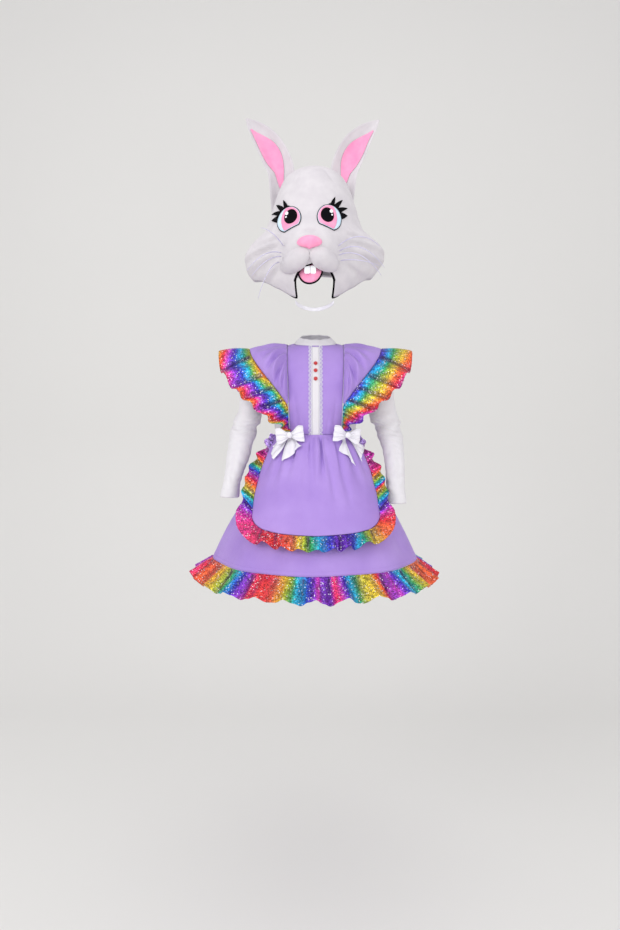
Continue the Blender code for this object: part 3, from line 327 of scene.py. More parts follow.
# %% Thread, fuzz and shade groups
threads, given, result = new_group(
    "crossed_threads", [("Place", "NodeSocketVector", None), ("Thread", "NodeSocketFloat", 0.0008)],
    [("Height", "NodeSocketFloat")])
split = node(threads, "ShaderNodeSeparateXYZ", {0: given["Place"]}).outputs
turns = calc(threads, "DIVIDE", 2 * pi, given["Thread"])
warp = calc(threads, "SINE", calc(threads, "MULTIPLY", split[0], turns))
weft = calc(threads, "SINE", calc(threads, "MULTIPLY", split[1], turns))
crossed = calc(threads, "MULTIPLY", warp, weft)
threads.links.new(calc(threads, "MULTIPLY", calc(threads, "ADD", crossed, 1.0), 0.5), result["Height"])

fuzz, given, result = new_group(
    "short_fuzz", [("Place", "NodeSocketVector", None), ("Tuft", "NodeSocketFloat", 0.004)],
    [("Height", "NodeSocketFloat"), ("Tufts", "NodeSocketFloat")])
fine_scale = calc(fuzz, "DIVIDE", 1.0, given["Tuft"])
fine = node(fuzz, "ShaderNodeTexNoise", {"Vector": given["Place"], "Scale": fine_scale, "Detail": 5.0,
                                         "Roughness": 0.7})
tuft_scale = calc(fuzz, "MULTIPLY", fine_scale, 0.16)
tufts = node(fuzz, "ShaderNodeTexNoise", {"Vector": given["Place"], "Scale": tuft_scale, "Detail": 3.0})
fine_height = calc(fuzz, "MULTIPLY", fine.outputs[0], 0.6)
fuzz.links.new(calc(fuzz, "ADD", fine_height, tufts.outputs[0]), result["Height"])
fuzz.links.new(tufts.outputs[0], result["Tufts"])

shade, given, result = new_group(
    "slow_shade", [("Place", "NodeSocketVector", None), ("Light", "NodeSocketColor", (1, 1, 1, 1)),
                   ("Dark", "NodeSocketColor", (0.5, 0.5, 0.5, 1)), ("Patch", "NodeSocketFloat", 0.08)],
    [("Colour", "NodeSocketColor")])
patches = node(shade, "ShaderNodeTexNoise", {"Vector": given["Place"], "Detail": 4.0,
                                             "Scale": calc(shade, "DIVIDE", 1.0, given["Patch"])})
spread = node(shade, "ShaderNodeMapRange", {0: patches.outputs[0], 1: 0.3, 2: 0.7})
shade.links.new(blend_colours(shade, spread.outputs[0], given["Light"], given["Dark"]), result["Colour"])


def use_group(tree, group, inputs):
    return node(tree, "ShaderNodeGroup", inputs, node_tree=group).outputs


def shaded(tree, shader, light, dark, patch):
    """Colour a plain finish with slow changes of shade."""
    place = node(tree, "ShaderNodeTexCoord").outputs["Object"]
    colour = use_group(tree, shade, {
        "Place": place, "Light": (*light, 1), "Dark": (*dark, 1), "Patch": patch})
    tree.links.new(colour["Colour"], shader.inputs["Base Color"])


def new_fabric(name, roughness, sheen=0.0, **values):
    """A material with its shader. The plain numbers of the finish are set on the shader itself."""
    material = bpy.data.materials.new(name)
    material.use_nodes = True
    tree = material.node_tree
    shader = tree.nodes["Principled BSDF"]
    shader.inputs["Roughness"].default_value = roughness
    shader.inputs["Sheen Weight"].default_value = sheen
    shader.inputs["Sheen Roughness"].default_value = 0.45
    for label, value in values.items():
        shader.inputs[label.replace("_", " ").title().replace("Ior", "IOR")].default_value = value
    return material, tree, shader


def bump(tree, shader, height, distance, strength=0.6):
    made = node(tree, "ShaderNodeBump", {"Height": height, "Distance": distance, "Strength": strength})
    tree.links.new(made.outputs[0], shader.inputs["Normal"])


print("groups:", [group.name for group in bpy.data.node_groups])

# %% [markdown]
# Woven cotton, knitted jersey, satin and felt differ in thread size, in gloss and in how much the surface
# catches light at its edge. One function makes the woven ones from those few numbers.

# %% Woven and felted fabrics


def woven(name, light, dark, thread, roughness, sheen, depth, patch=0.09, **values):
    material, tree, shader = new_fabric(name, roughness, sheen, **values)
    place = node(tree, "ShaderNodeUVMap", uv_map="UVMap").outputs[0]
    colour = use_group(tree, shade, {"Place": node(tree, "ShaderNodeTexCoord").outputs["Object"],
                                     "Light": (*light, 1), "Dark": (*dark, 1), "Patch": patch})["Colour"]
    height = use_group(tree, threads, {"Place": place, "Thread": thread})["Height"]
    deeper = blend_colours(tree, calc(tree, "MULTIPLY", height, 0.16), colour, (*[c * 0.55 for c in dark], 1))
    tree.links.new(deeper, shader.inputs["Base Color"])
    bump(tree, shader, height, depth)
    return material


def felted(name, light, dark, tuft, roughness, sheen, depth, **values):
    material, tree, shader = new_fabric(name, roughness, sheen, **values)
    place = node(tree, "ShaderNodeTexCoord").outputs["Object"]
    surface = use_group(tree, fuzz, {"Place": place, "Tuft": tuft})
    colour = use_group(tree, shade, {"Place": place, "Light": (*light, 1), "Dark": (*dark, 1),
                                     "Patch": tuft * 7})["Colour"]
    tree.links.new(colour, shader.inputs["Base Color"])
    bump(tree, shader, surface["Height"], depth)
    return material


LILAC_LIGHT, LILAC_DARK = (0.435, 0.285, 0.710), (0.365, 0.225, 0.640)
lilac_cotton = woven("lilac_cotton", LILAC_LIGHT, LILAC_DARK, 0.0009, 0.72, 0.10, 0.0003)
white_jersey = woven("white_jersey", (0.79, 0.775, 0.80), (0.71, 0.69, 0.725), 0.0011, 0.80, 0.10, 0.0003)
white_satin = woven("white_satin", (0.85, 0.84, 0.88), (0.74, 0.72, 0.80), 0.0005, 0.30, 0.15, 0.0001,
                    specular_ior_level=0.6)
lace_thread = felted("lace_thread", (0.86, 0.86, 0.88), (0.74, 0.74, 0.79), 0.0015, 0.85, 0.1, 0.0002)
white_plush = felted("white_plush", (0.655, 0.625, 0.65), (0.585, 0.555, 0.585), 0.0045, 0.92, 0.12, 0.0010)
pink_felt = felted("pink_felt", (0.94, 0.37, 0.56), (0.87, 0.27, 0.47), 0.0030, 0.85, 0.10, 0.0005)
iris_felt = felted("iris_felt", (0.93, 0.40, 0.58), (0.88, 0.24, 0.45), 0.0060, 0.75, 0.05, 0.0003)
ear_felt = felted("ear_felt", (0.91, 0.36, 0.56), (0.84, 0.27, 0.49), 0.0035, 0.88, 0.10, 0.0006)
black_felt = felted("black_felt", (0.004, 0.003, 0.005), (0.002, 0.002, 0.003), 0.0020, 0.80, 0.0, 0.0003,
                    specular_ior_level=0.06)
eye_cloth = felted("eye_cloth", (0.66, 0.80, 0.90), (0.52, 0.69, 0.84), 0.0030, 0.55, 0.05, 0.0002)
glint_cloth = felted("glint_cloth", (0.95, 0.95, 0.97), (0.86, 0.88, 0.93), 0.0030, 0.40, 0.0, 0.0001)
whisker_fibre = felted("whisker_fibre", (0.62, 0.60, 0.74), (0.50, 0.47, 0.64), 0.0020, 0.40, 0.0, 0.0001)
stitch_white = felted("stitch_white", (0.70, 0.69, 0.75), (0.58, 0.57, 0.64), 0.0008, 0.75, 0.05, 0.0001)
stitch_lilac = felted("stitch_lilac", (0.33, 0.20, 0.58), (0.27, 0.16, 0.50), 0.0008, 0.75, 0.05, 0.0001)
red_plastic, tree, shader = new_fabric("red_plastic", 0.25, coat_weight=0.4, coat_roughness=0.1)
shaded(tree, shader, (0.60, 0.03, 0.03), (0.42, 0.015, 0.02), 0.004)
print("fabrics:", len(bpy.data.materials))

# %% [markdown]
# ## Rainbow foil
# The ruffles are a stretch cloth covered in tiny foil sequins, printed in rainbow bands. Each ruffle
# carries a number, its place in the run of colours, and a ramp turns the number into a colour. A second mark
# darkens the valleys between two waves, where hardly any light gets in. The cloth itself gets small foil
# cells, painted brighter and darker as painted glints and shade; real sequins are scattered on it afterwards.

# %% The run of colours
RAINBOW = ((0.00, (0.74, 0.035, 0.055)), (0.11, (0.83, 0.15, 0.035)), (0.22, (0.74, 0.50, 0.04)),
           (0.32, (0.36, 0.46, 0.04)), (0.40, (0.035, 0.36, 0.12)), (0.50, (0.02, 0.42, 0.74)),
           (0.60, (0.035, 0.07, 0.55)), (0.68, (0.09, 0.025, 0.42)), (0.77, (0.28, 0.055, 0.62)),
           (0.88, (0.66, 0.05, 0.40)), (1.00, (0.74, 0.035, 0.055)))


def rainbow_colours(tree):
    """Colour of the foil, from the marks on the ruffle: its place in the rainbow, and how lilac it is."""
    place = node(tree, "ShaderNodeAttribute", attribute_name="rainbow").outputs["Fac"]
    wander = node(tree, "ShaderNodeTexNoise", {"Vector": node(tree, "ShaderNodeTexCoord").outputs["Object"],
                                               "Scale": 38.0, "Detail": 2.0}).outputs[0]
    place = calc(tree, "ADD", place, calc(tree, "MULTIPLY", calc(tree, "SUBTRACT", wander, 0.5), 0.10))
    ramp = node(tree, "ShaderNodeValToRGB", {0: calc(tree, "FRACT", place)})
    stops = ramp.color_ramp.elements
    stops[0].position, stops[1].position = RAINBOW[0][0], RAINBOW[-1][0]
    stops[0].color, stops[1].color = (*RAINBOW[0][1], 1), (*RAINBOW[-1][1], 1)
    for position, colour in RAINBOW[1:-1]:
        stops.new(position).color = (*colour, 1)
    lilac = node(tree, "ShaderNodeAttribute", attribute_name="lilac").outputs["Fac"]
    shown = blend_colours(tree, lilac, ramp.outputs[0], (*LILAC_LIGHT, 1))
    valley = node(tree, "ShaderNodeAttribute", attribute_name="valley").outputs["Fac"]
    return blend_colours(tree, calc(tree, "MULTIPLY", valley, 0.72), shown, (0.035, 0.008, 0.075, 1)), lilac


rainbow_foil, tree, shader = new_fabric("rainbow_foil", 0.36)
colour, lilac = rainbow_colours(tree)
# Each small foil cell takes a random brightness, from a third to nearly twice the colour: painted glints
# where it is brighter, painted shade where it is darker.
cells = node(tree, "ShaderNodeTexVoronoi", {"Vector": node(tree, "ShaderNodeTexCoord").outputs["Object"],
                                            "Scale": 330.0})
cell_chance = node(tree, "ShaderNodeSeparateColor", {0: cells.outputs["Color"]}).outputs[0]
painted_cell_light = node(tree, "ShaderNodeMapRange", {0: cell_chance, 1: 0.0, 2: 1.0, 3: 0.35, 4: 1.70}).outputs[0]
cell_lit_colour = node(tree, "ShaderNodeVectorMath", {0: colour, "Scale": painted_cell_light}, operation="SCALE").outputs[0]
tree.links.new(cell_lit_colour, shader.inputs["Base Color"])
tree.links.new(calc(tree, "MULTIPLY", calc(tree, "SUBTRACT", 1.0, lilac), 0.45), shader.inputs["Metallic"])
bump(tree, shader, cells.outputs["Distance"], 0.0008, 0.8)

sequin_foil, tree, shader = new_fabric("sequin_foil", 0.18)
colour, lilac = rainbow_colours(tree)
# A random share of the sequins, picked by their glint number, is painted near white and made less metallic: a
# painted glint of light off the foil.
glint = node(tree, "ShaderNodeAttribute", attribute_name="glint").outputs["Fac"]
painted_glint_share = node(tree, "ShaderNodeMapRange", {0: glint, 1: 0.70, 2: 0.95, 3: 0.0, 4: 0.95}).outputs[0]
lit = blend_colours(tree, painted_glint_share, colour, (0.95, 0.93, 0.97, 1))
tree.links.new(lit, shader.inputs["Base Color"])
tree.links.new(calc(tree, "MULTIPLY", calc(tree, "SUBTRACT", 1.0, painted_glint_share), 0.75), shader.inputs["Metallic"])
flakes = node(tree, "ShaderNodeTexNoise", {"Vector": node(tree, "ShaderNodeTexCoord").outputs["Object"],
                                           "Scale": 900.0}).outputs[0]
bump(tree, shader, flakes, 0.0002, 0.4)
print("rainbow of", len(RAINBOW), "colours")

# %% [markdown]
# ## Rows of small things
# Stitches and lace scallops repeat along a line on the cloth. One Geometry Nodes tree serves both: it walks
# along the line in equal steps, puts a small motif at each step, turned along the line and flat on the cloth,
# and makes the copies real. Sequins use a second tree that scatters them over a face at random.

# %% A tree for rows and a tree for scattered sequins


def new_geometry_tree(name, inputs):
    tree = bpy.data.node_groups.new(name, "GeometryNodeTree")
    tree.interface.new_socket("Geometry", in_out="INPUT", socket_type="NodeSocketGeometry")
    for label, kind in inputs:
        tree.interface.new_socket(label, in_out="INPUT", socket_type=kind)
    tree.interface.new_socket("Geometry", in_out="OUTPUT", socket_type="NodeSocketGeometry")
    return tree, tree.nodes.new("NodeGroupInput").outputs, tree.nodes.new("NodeGroupOutput").inputs


def copy_motif(tree, places, turned, given, result):
    """End a tree: put the motif at every place, make the copies real and give them their finish."""
    motif = node(tree, "GeometryNodeObjectInfo", {"Object": given["Motif"]})
    copies = node(tree, "GeometryNodeInstanceOnPoints", {
        "Points": places, "Instance": motif.outputs["Geometry"], "Rotation": turned})
    real = node(tree, "GeometryNodeRealizeInstances", {"Geometry": copies.outputs[0]})
    finished = node(tree, "GeometryNodeSetMaterial", {
        "Geometry": real.outputs[0], "Material": given["Finish"]})
    tree.links.new(finished.outputs[0], result["Geometry"])


row_tree, given, result = new_geometry_tree("motifs_in_a_row", [
    ("Motif", "NodeSocketObject"), ("Spacing", "NodeSocketFloat"), ("Finish", "NodeSocketMaterial")])
line = node(row_tree, "GeometryNodeMeshToCurve", {"Mesh": given["Geometry"]})
steps = node(row_tree, "GeometryNodeResampleCurve", {"Curve": line.outputs[0], "Length": given["Spacing"]},
             mode="LENGTH")
facing = node(row_tree, "GeometryNodeInputNamedAttribute", {"Name": "facing"}, data_type="FLOAT_VECTOR")
along = node(row_tree, "FunctionNodeAlignEulerToVector",
             {"Vector": node(row_tree, "GeometryNodeInputTangent").outputs[0]}, axis="X")
turned = node(row_tree, "FunctionNodeAlignEulerToVector",
              {"Rotation": along.outputs[0], "Vector": facing.outputs[0]}, axis="Z", pivot_axis="X")
copy_motif(row_tree, steps.outputs[0], turned.outputs[0], given, result)

scatter_tree, given, result = new_geometry_tree("scattered_sequins", [
    ("Motif", "NodeSocketObject"), ("Gap", "NodeSocketFloat"), ("Density", "NodeSocketFloat"),
    ("Tilt", "NodeSocketFloat"), ("Finish", "NodeSocketMaterial")])
spots = node(scatter_tree, "GeometryNodeDistributePointsOnFaces", {
    "Mesh": given["Geometry"], "Distance Min": given["Gap"], "Density Max": given["Density"], "Seed": 7},
    distribute_method="POISSON")
sway = node(scatter_tree, "FunctionNodeRandomValue", {"Min": (-1, -1, -1), "Max": (1, 1, 1), "Seed": 3},
            data_type="FLOAT_VECTOR")
lean = node(scatter_tree, "ShaderNodeVectorMath", {0: sway.outputs[0], "Scale": given["Tilt"]},
            operation="SCALE")
leaning = node(scatter_tree, "ShaderNodeVectorMath", {0: spots.outputs["Normal"], 1: lean.outputs[0]},
               operation="ADD")
turned = node(scatter_tree, "FunctionNodeAlignEulerToVector", {"Vector": leaning.outputs[0]}, axis="Z")
chance = node(scatter_tree, "FunctionNodeRandomValue", {"Seed": 11})
marked = node(scatter_tree, "GeometryNodeStoreNamedAttribute", {
    "Geometry": spots.outputs[0], "Name": "glint", "Value": chance.outputs[1]}, domain="POINT")
copy_motif(scatter_tree, marked.outputs[0], turned.outputs[0], given, result)


def run_tree(tree, mesh, name, slot, **inputs):
    """Run a tree on a mesh and keep the plain mesh that it makes."""
    worker = bpy.data.objects.new(name + "_source", mesh)
    bpy.context.scene.collection.objects.link(worker)
    modifier = worker.modifiers.new("rows", "NODES")
    modifier.node_group = tree
    for item in tree.interface.items_tree:
        if item.in_out == "INPUT" and item.name.lower() in inputs:
            modifier[item.identifier] = inputs[item.name.lower()]
    bpy.context.view_layer.update()
    evaluated = worker.evaluated_get(bpy.context.evaluated_depsgraph_get())
    made = bpy.data.meshes.new_from_object(evaluated)
    made.name = name
    bpy.data.objects.remove(worker, do_unlink=True)
    return add_piece(name, made, None, slot)


def line_mesh(name, points, facing, closed=False):
    """A line on the cloth, with the direction that faces away from it."""
    mesh = bpy.data.meshes.new(name)
    edges = [(i, i + 1) for i in range(len(points) - 1)] + ([(len(points) - 1, 0)] if closed else [])
    mesh.from_pydata(np.asarray(points).tolist(), edges, [])
    layer = mesh.attributes.new("facing", "FLOAT_VECTOR", "POINT")
    layer.data.foreach_set("vector", np.asarray(facing, np.float32).reshape(-1))
    return mesh


def small_motif(name, bm):
    """An object that is copied by a tree and isn't shown itself."""
    mesh = bpy.data.meshes.new(name)
    bm.to_mesh(mesh)
    bm.free()
    return bpy.data.objects.new(name, mesh)


stitch_bm = bmesh.new()
bmesh.ops.create_icosphere(stitch_bm, subdivisions=1, radius=1.0)
bmesh.ops.scale(stitch_bm, vec=Vector((0.0012, 0.00032, 0.00028)), verts=stitch_bm.verts)
one_stitch = small_motif("one_stitch", stitch_bm)
sequin_bm = bmesh.new()
bmesh.ops.create_circle(sequin_bm, cap_ends=True, segments=6, radius=0.0013)
bmesh.ops.translate(sequin_bm, vec=Vector((0, 0, 0.0005)), verts=sequin_bm.verts)
one_sequin = small_motif("one_sequin", sequin_bm)


def stitches(name, points, facing, finish, slot, closed=False, spacing=0.0034):
    """A row of stitches along a line on the cloth."""
    return run_tree(row_tree, line_mesh(name, points, facing, closed), name, slot,
                    motif=one_stitch, spacing=spacing, finish=finish)


def sequins(name, ruffle, density):
    """Sequins over both faces of a ruffle."""
    return run_tree(scatter_tree, ruffle.data.copy(), name, "rainbow_foil",
                    motif=one_sequin, gap=0.0030, density=density, tilt=0.42, finish=sequin_foil)


print("trees:", row_tree.name, scatter_tree.name)

# %% [markdown]
# ## Bodice
# The bodice is cut as a lilac front and back panel and a white jersey panel below each sleeve. All follow
# one set of rings of a general figure. The small gap between two panels is the seam.

# %% Rings of the bodice
SEAM_GAP = 0.0003
DRESS_WALL = 0.0016
RUFFLE_WALL = 0.0012
TRIM_WALL = 0.0010
THREAD_LIFT = 0.0002
WAIST = -0.262
HEM = -0.612
TORSO = Table(("height", "half_width", "half_depth"),
              (0.000, 0.0610, 0.0580), (-0.006, 0.0850, 0.0620), (-0.018, 0.1200, 0.0680),
              (-0.034, 0.1530, 0.0750), (-0.054, 0.1770, 0.0840), (-0.085, 0.1800, 0.0940),
              (-0.125, 0.1570, 0.1010), (-0.170, 0.1360, 0.1020), (-0.220, 0.1200, 0.0960),
              (WAIST, 0.1150, 0.0900))
BODICE_ROWS = (0.0, -0.0050, -0.016, -0.034, -0.060, -0.095, -0.135, -0.180, -0.222, WAIST)
NECK_TILT = 0.22
ARMHOLE_HEIGHT, ARMHOLE_HALF_HEIGHT, ARMHOLE_HALF_ANGLE = -0.093, 0.043, radians(29)


def torso_point(angle, height):
    width, depth = TORSO.at(height, "half_width"), TORSO.at(height, "half_depth")
    y = -depth * np.cos(angle)
    return vec(width * np.sin(angle), y, height + NECK_TILT * (1 - step_between(0.0, 0.12, -height)) * y)


def torso_normal(angle, height, step=0.0005):
    around = torso_point(angle + step, height) - torso_point(angle - step, height)
    down = torso_point(angle, height - step) - torso_point(angle, height + step)
    return unit(np.cross(down, around))


def wing_seam_angle(height):
    middle = lerp(0.080, 0.0715, height / WAIST)
    return np.arcsin(np.minimum(1.0, middle / TORSO.at(height, "half_width")))


def side_of(points, side):
    """Mirror points to the left side of the front view."""
    return points * np.array((side, 1.0, 1.0))


# Folds of the panels: across from the middle, down from the neckline, in metres
FRONT_FOLDS = ((-0.060, 0.150, -0.048, 0.262, 0.0060, -0.0016), (0.058, 0.160, 0.050, 0.262, 0.0055, -0.0014),
               (-0.035, 0.215, -0.030, 0.264, 0.0040, -0.0012), (0.036, 0.210, 0.030, 0.264, 0.0045, -0.0013),
               (-0.066, 0.060, -0.050, 0.130, 0.0070, -0.0010), (0.064, 0.070, 0.052, 0.120, 0.0070, -0.0010))
BACK_FOLDS = ((-0.050, 0.140, -0.034, 0.262, 0.0070, -0.0018), (0.044, 0.150, 0.030, 0.262, 0.0060, -0.0016),
              (0.000, 0.190, 0.004, 0.264, 0.0050, -0.0012), (-0.064, 0.070, -0.030, 0.120, 0.0080, -0.0012))
SIDE_FOLDS = ((-0.040, 0.150, -0.010, 0.240, 0.008, -0.0020), (0.030, 0.150, 0.020, 0.250, 0.007, -0.0018),
              (0.000, 0.160, 0.006, 0.230, 0.006, 0.0015))
PANEL_SIZE = (0.155, 0.272)


def bodice_panel(name, facing, folds):
    u, v = grid(72, 96)
    height = in_list(BODICE_ROWS, v)
    edge = wing_seam_angle(height) - SEAM_GAP / TORSO.at(height, "half_width")
    angle = facing + lerp(-edge, edge, u)
    across = (u - 0.5) * PANEL_SIZE[0]
    points = torso_point(angle, height) + torso_normal(angle, height) * col(creases(across, -height, folds))
    return cloth(name, points, DRESS_WALL, lilac_cotton, "lilac_cotton", name, size=PANEL_SIZE)


bodice_front = bodice_panel("bodice_front", 0.0, FRONT_FOLDS)
bodice_back = bodice_panel("bodice_back", pi, BACK_FOLDS)


def armhole_point(turn, inset=0.0):
    shrink = 1 - inset / ARMHOLE_HALF_HEIGHT
    return (pi / 2 + ARMHOLE_HALF_ANGLE * shrink * np.cos(turn),
            ARMHOLE_HEIGHT + ARMHOLE_HALF_HEIGHT * shrink * np.sin(turn))


def bodice_side(name, side):
    """A ring of cloth from the armhole out to the wing seam and the waist."""
    heights = np.interp(np.linspace(0, 8, 65), np.arange(9), BODICE_ROWS[1:])[::-1]
    front = [(wing_seam_angle(h) + SEAM_GAP / TORSO.at(h, "half_width"), h) for h in heights]
    front[-1] = (pi / 2, BODICE_ROWS[1] - SEAM_GAP * 2)
    rim = front + [(pi - angle, height) for angle, height in front[-2::-1]]
    rim += [(lerp(pi - front[0][0], front[0][0], i / 24), WAIST) for i in range(1, 24)]
    angle, height = np.array(rim, float).T
    turn = np.arctan2((height - ARMHOLE_HEIGHT) / ARMHOLE_HALF_HEIGHT, (angle - pi / 2) / ARMHOLE_HALF_ANGLE)
    hole_angle, hole_height = armhole_point(turn)
    ring = np.linspace(0, 1, 13)[:, None]
    angle, height = lerp(hole_angle, angle, ring), lerp(hole_height, height, ring)
    folds = creases((angle - pi / 2) * 0.12, -height, SIDE_FOLDS)
    points, normals = torso_point(angle, height), torso_normal(angle, height)
    points = side_of(points + normals * col(folds), side)
    deep = points - side_of(normals, side) * DRESS_WALL
    mesh = wall_mesh(name, points, deep, True, side > 0, (0.75, 0.08))
    piece = add_piece(name, mesh, white_jersey, "white_jersey", name)


for suffix, side in (("left", LEFT), ("right", RIGHT)):
    bodice_side(f"bodice_side_{suffix}", side)
print("bodice of", len(PIECES), "panels")

# %% [markdown]
# ## Sleeves
# Each sleeve is a tube of jersey that hangs down and a little outwards. Its rings are given in a table, wider
# and narrower where the cloth bunches at the elbow. The main creases run round the elbow and down from the
# wing, uneven in length and depth, and smaller ones cross them. The cuff is turned up and sewn, so a row of
# stitches marks it.

# %% Sleeve rings and folds
SLEEVE_COLUMNS = ("step", "x", "y", "z", "turn", "half_width", "half_depth")
SLEEVES = {
    LEFT: Table(SLEEVE_COLUMNS,
                (1.0, 0.186, 0.000, -0.096, 35, 0.043, 0.048),
                (2.0, 0.187, 0.001, -0.126, 62, 0.0375, 0.046),
                (3.0, 0.187, 0.002, -0.160, 78, 0.0345, 0.043),
                (4.0, 0.189, 0.002, -0.192, 84, 0.0345, 0.041),
                (5.0, 0.198, 0.001, -0.222, 84, 0.0390, 0.042),
                (5.6, 0.204, 0.000, -0.238, 84, 0.0345, 0.038),
                (6.2, 0.208, -0.003, -0.254, 84, 0.0385, 0.041),
                (7.0, 0.214, -0.008, -0.282, 84, 0.0355, 0.038),
                (8.0, 0.222, -0.016, -0.320, 84, 0.0335, 0.035),
                (9.0, 0.231, -0.026, -0.360, 84, 0.0275, 0.030),
                (10.0, 0.239, -0.035, -0.398, 86, 0.0245, 0.027),
                (11.0, 0.245, -0.042, -0.438, 88, 0.0265, 0.029)),
    RIGHT: Table(SLEEVE_COLUMNS,
                 (1.0, 0.186, 0.000, -0.096, 35, 0.043, 0.048),
                 (2.0, 0.188, 0.001, -0.126, 62, 0.0390, 0.046),
                 (3.0, 0.190, 0.002, -0.160, 78, 0.0385, 0.044),
                 (4.0, 0.194, 0.001, -0.192, 86, 0.0410, 0.043),
                 (5.0, 0.203, -0.003, -0.224, 90, 0.0430, 0.043),
                 (5.6, 0.208, -0.008, -0.240, 90, 0.0360, 0.038),
                 (6.2, 0.213, -0.013, -0.258, 90, 0.0370, 0.040),
                 (7.0, 0.219, -0.022, -0.284, 90, 0.0330, 0.036),
                 (8.0, 0.224, -0.036, -0.322, 90, 0.0290, 0.031),
                 (9.0, 0.226, -0.050, -0.366, 90, 0.0270, 0.028),
                 (10.0, 0.226, -0.062, -0.408, 90, 0.0260, 0.027),
                 (11.0, 0.2275, -0.072, -0.452, 90, 0.0275, 0.029)),
}
SLEEVE_ROWS = (0.0, 0.5, 1.0, 1.7, 2.5, 4.0, 5.0, 5.6, 6.2, 7.0, 8.0, 9.0, 10.0, 11.0)
# Folds: turn round the sleeve and step down it at both ends, half width (1 is 1.6 steps), height in metres.
# A quarter turn is the outer side, half the front, three quarters the inner side, and 0 or 1 the back.
SLEEVE_FOLDS = {
    LEFT: ((0.78, 4.6, 1.02, 5.5, 0.20, -0.0050), (0.74, 5.5, 1.10, 5.9, 0.16, -0.0045),
           (0.80, 6.6, 1.05, 5.9, 0.18, -0.0038), (0.70, 7.3, 0.98, 6.6, 0.22, -0.0034),
           (0.92, 4.9, 1.24, 5.6, 0.18, 0.0030), (0.85, 2.4, 1.00, 4.6, 0.24, -0.0034),
           (0.95, 6.8, 1.00, 9.8, 0.26, -0.0030), (1.12, 6.4, 1.08, 8.8, 0.22, 0.0024),
           (0.28, 4.6, 0.62, 5.6, 0.22, -0.0042), (0.34, 5.9, 0.70, 6.3, 0.20, -0.0036),
           (0.45, 6.8, 0.50, 9.5, 0.26, -0.0028), (0.20, 2.2, 0.30, 4.4, 0.26, -0.0028),
           (0.90, 9.3, 1.10, 9.7, 0.16, -0.0020), (0.40, 9.2, 0.66, 9.6, 0.16, -0.0020)),
    RIGHT: ((0.76, 4.4, 1.10, 5.6, 0.22, -0.0052), (0.72, 5.3, 1.12, 6.1, 0.18, -0.0048),
            (0.74, 6.1, 1.05, 6.6, 0.16, -0.0040), (0.78, 7.4, 1.06, 6.9, 0.20, -0.0030),
            (0.98, 4.4, 1.26, 5.2, 0.20, 0.0030), (0.88, 2.2, 0.98, 4.2, 0.26, -0.0036),
            (1.05, 6.9, 1.00, 9.6, 0.24, -0.0026), (0.86, 7.2, 0.90, 9.9, 0.20, 0.0022),
            (0.30, 4.5, 0.66, 5.4, 0.22, -0.0044), (0.28, 5.7, 0.64, 6.4, 0.20, -0.0036),
            (0.48, 6.9, 0.44, 9.4, 0.26, -0.0028), (0.18, 2.4, 0.26, 4.2, 0.26, -0.0026),
            (0.92, 9.4, 1.14, 9.2, 0.16, -0.0022), (0.36, 9.4, 0.62, 9.1, 0.16, -0.0020)),
}


def sleeve_points(side, u, step):
    table, turn = SLEEVES[side], 2 * pi * u
    ring = np.maximum(step, 1.0)
    tip = np.radians(table.at(ring, "turn"))
    outward = vec(np.sin(tip), 0.0, np.cos(tip))
    points = (table.vector(ring) + outward * col(table.at(ring, "half_width") * np.sin(turn))
              + vec(0.0, table.at(ring, "half_depth") * np.cos(turn), 0.0))
    root = torso_point(*armhole_point(turn, 0.0007)) + np.array((SEAM_GAP, 0, 0))
    return np.where(col(step < 1.0), lerp(root, points, col(np.maximum(step, 0.0))), points)


def sleeve(name, side):
    u, v = grid(96, 200, closed=True)
    step = in_list(SLEEVE_ROWS, v)
    points = sleeve_points(side, u, step)
    normals = -grid_normals(points, True)
    folded = sum(creases(u + shift, step * 0.1, [(a0, d0 * 0.1, a1, d1 * 0.1, wide * 0.16, height)
                                                 for a0, d0, a1, d1, wide, height in SLEEVE_FOLDS[side]])
                 for shift in (-1.0, 0.0, 1.0))
    held = step_between(0.8, 2.4, step) * (1 - step_between(9.8, 10.5, step))
    fine = 0.0006 * np.sin(11 * step + 3 * np.sin(2 * pi * u * 2 + step)) * step_between(3.0, 5.0, step)
    cuff = 0.0010 * (step_between(10.46, 10.50, step) - step_between(10.93, 11.0, step))
    points = points + normals * col(held * (folded + fine) + cuff)
    points = side_of(points, side)
    piece = cloth(name, points, DRESS_WALL, white_jersey, "white_jersey", name, True, -side, (0.25, 0.39))
    seam = in_list(SLEEVE_ROWS, np.linspace(0, 1, 201))
    row = int(np.argmin(np.abs(seam - 10.42)))
    facing = grid_normals(points, True)[row] * -side
    stitches(f"cuff_stitches_{name}", points[row] + facing * THREAD_LIFT, facing, stitch_white,
             "white_jersey", True)


for suffix, side in (("left", LEFT), ("right", RIGHT)):
    sleeve(f"sleeve_{suffix}", side)
print("sleeves made")

# %% [markdown]
# ## Collar, placket, buttons and lace
# A white stand collar leans inwards. Down the front runs a narrow placket with three red buttons, and
# lace on both sides of it. Cotton lace is threads around holes, so each scallop is a fan of round threads,
# repeated down the front by the row tree.

# %% Collar and placket


def collar():
    u, v = grid(144, 14, closed=True)
    base = torso_point(2 * pi * u, np.zeros_like(u))
    scale = lerp(0.70, 0.985, v ** 0.8)
    rise = 0.019 * (1 - v) + SEAM_GAP * 2
    ripple = 0.0006 * np.cos(9 * 2 * pi * u + 0.7 * np.sin(4 * pi * u)) * (1 - v)
    wide = scale + ripple * 8
    points = vec(base[..., 0] * wide, base[..., 1] * wide, base[..., 2] + rise + ripple)
    piece = cloth("collar", points, DRESS_WALL, white_jersey, "white_jersey", "collar", True,
                  size=(0.36, 0.025))
    facing = grid_normals(points, True)[2]
    stitches("collar_stitches", points[2] + facing * THREAD_LIFT, facing, stitch_white, "white_jersey", True)


collar()
PLACKET_HALF, PLACKET_TOP = 0.0092, -0.004
PLACKET_LIFT = SEAM_GAP + 0.0002 + DRESS_WALL


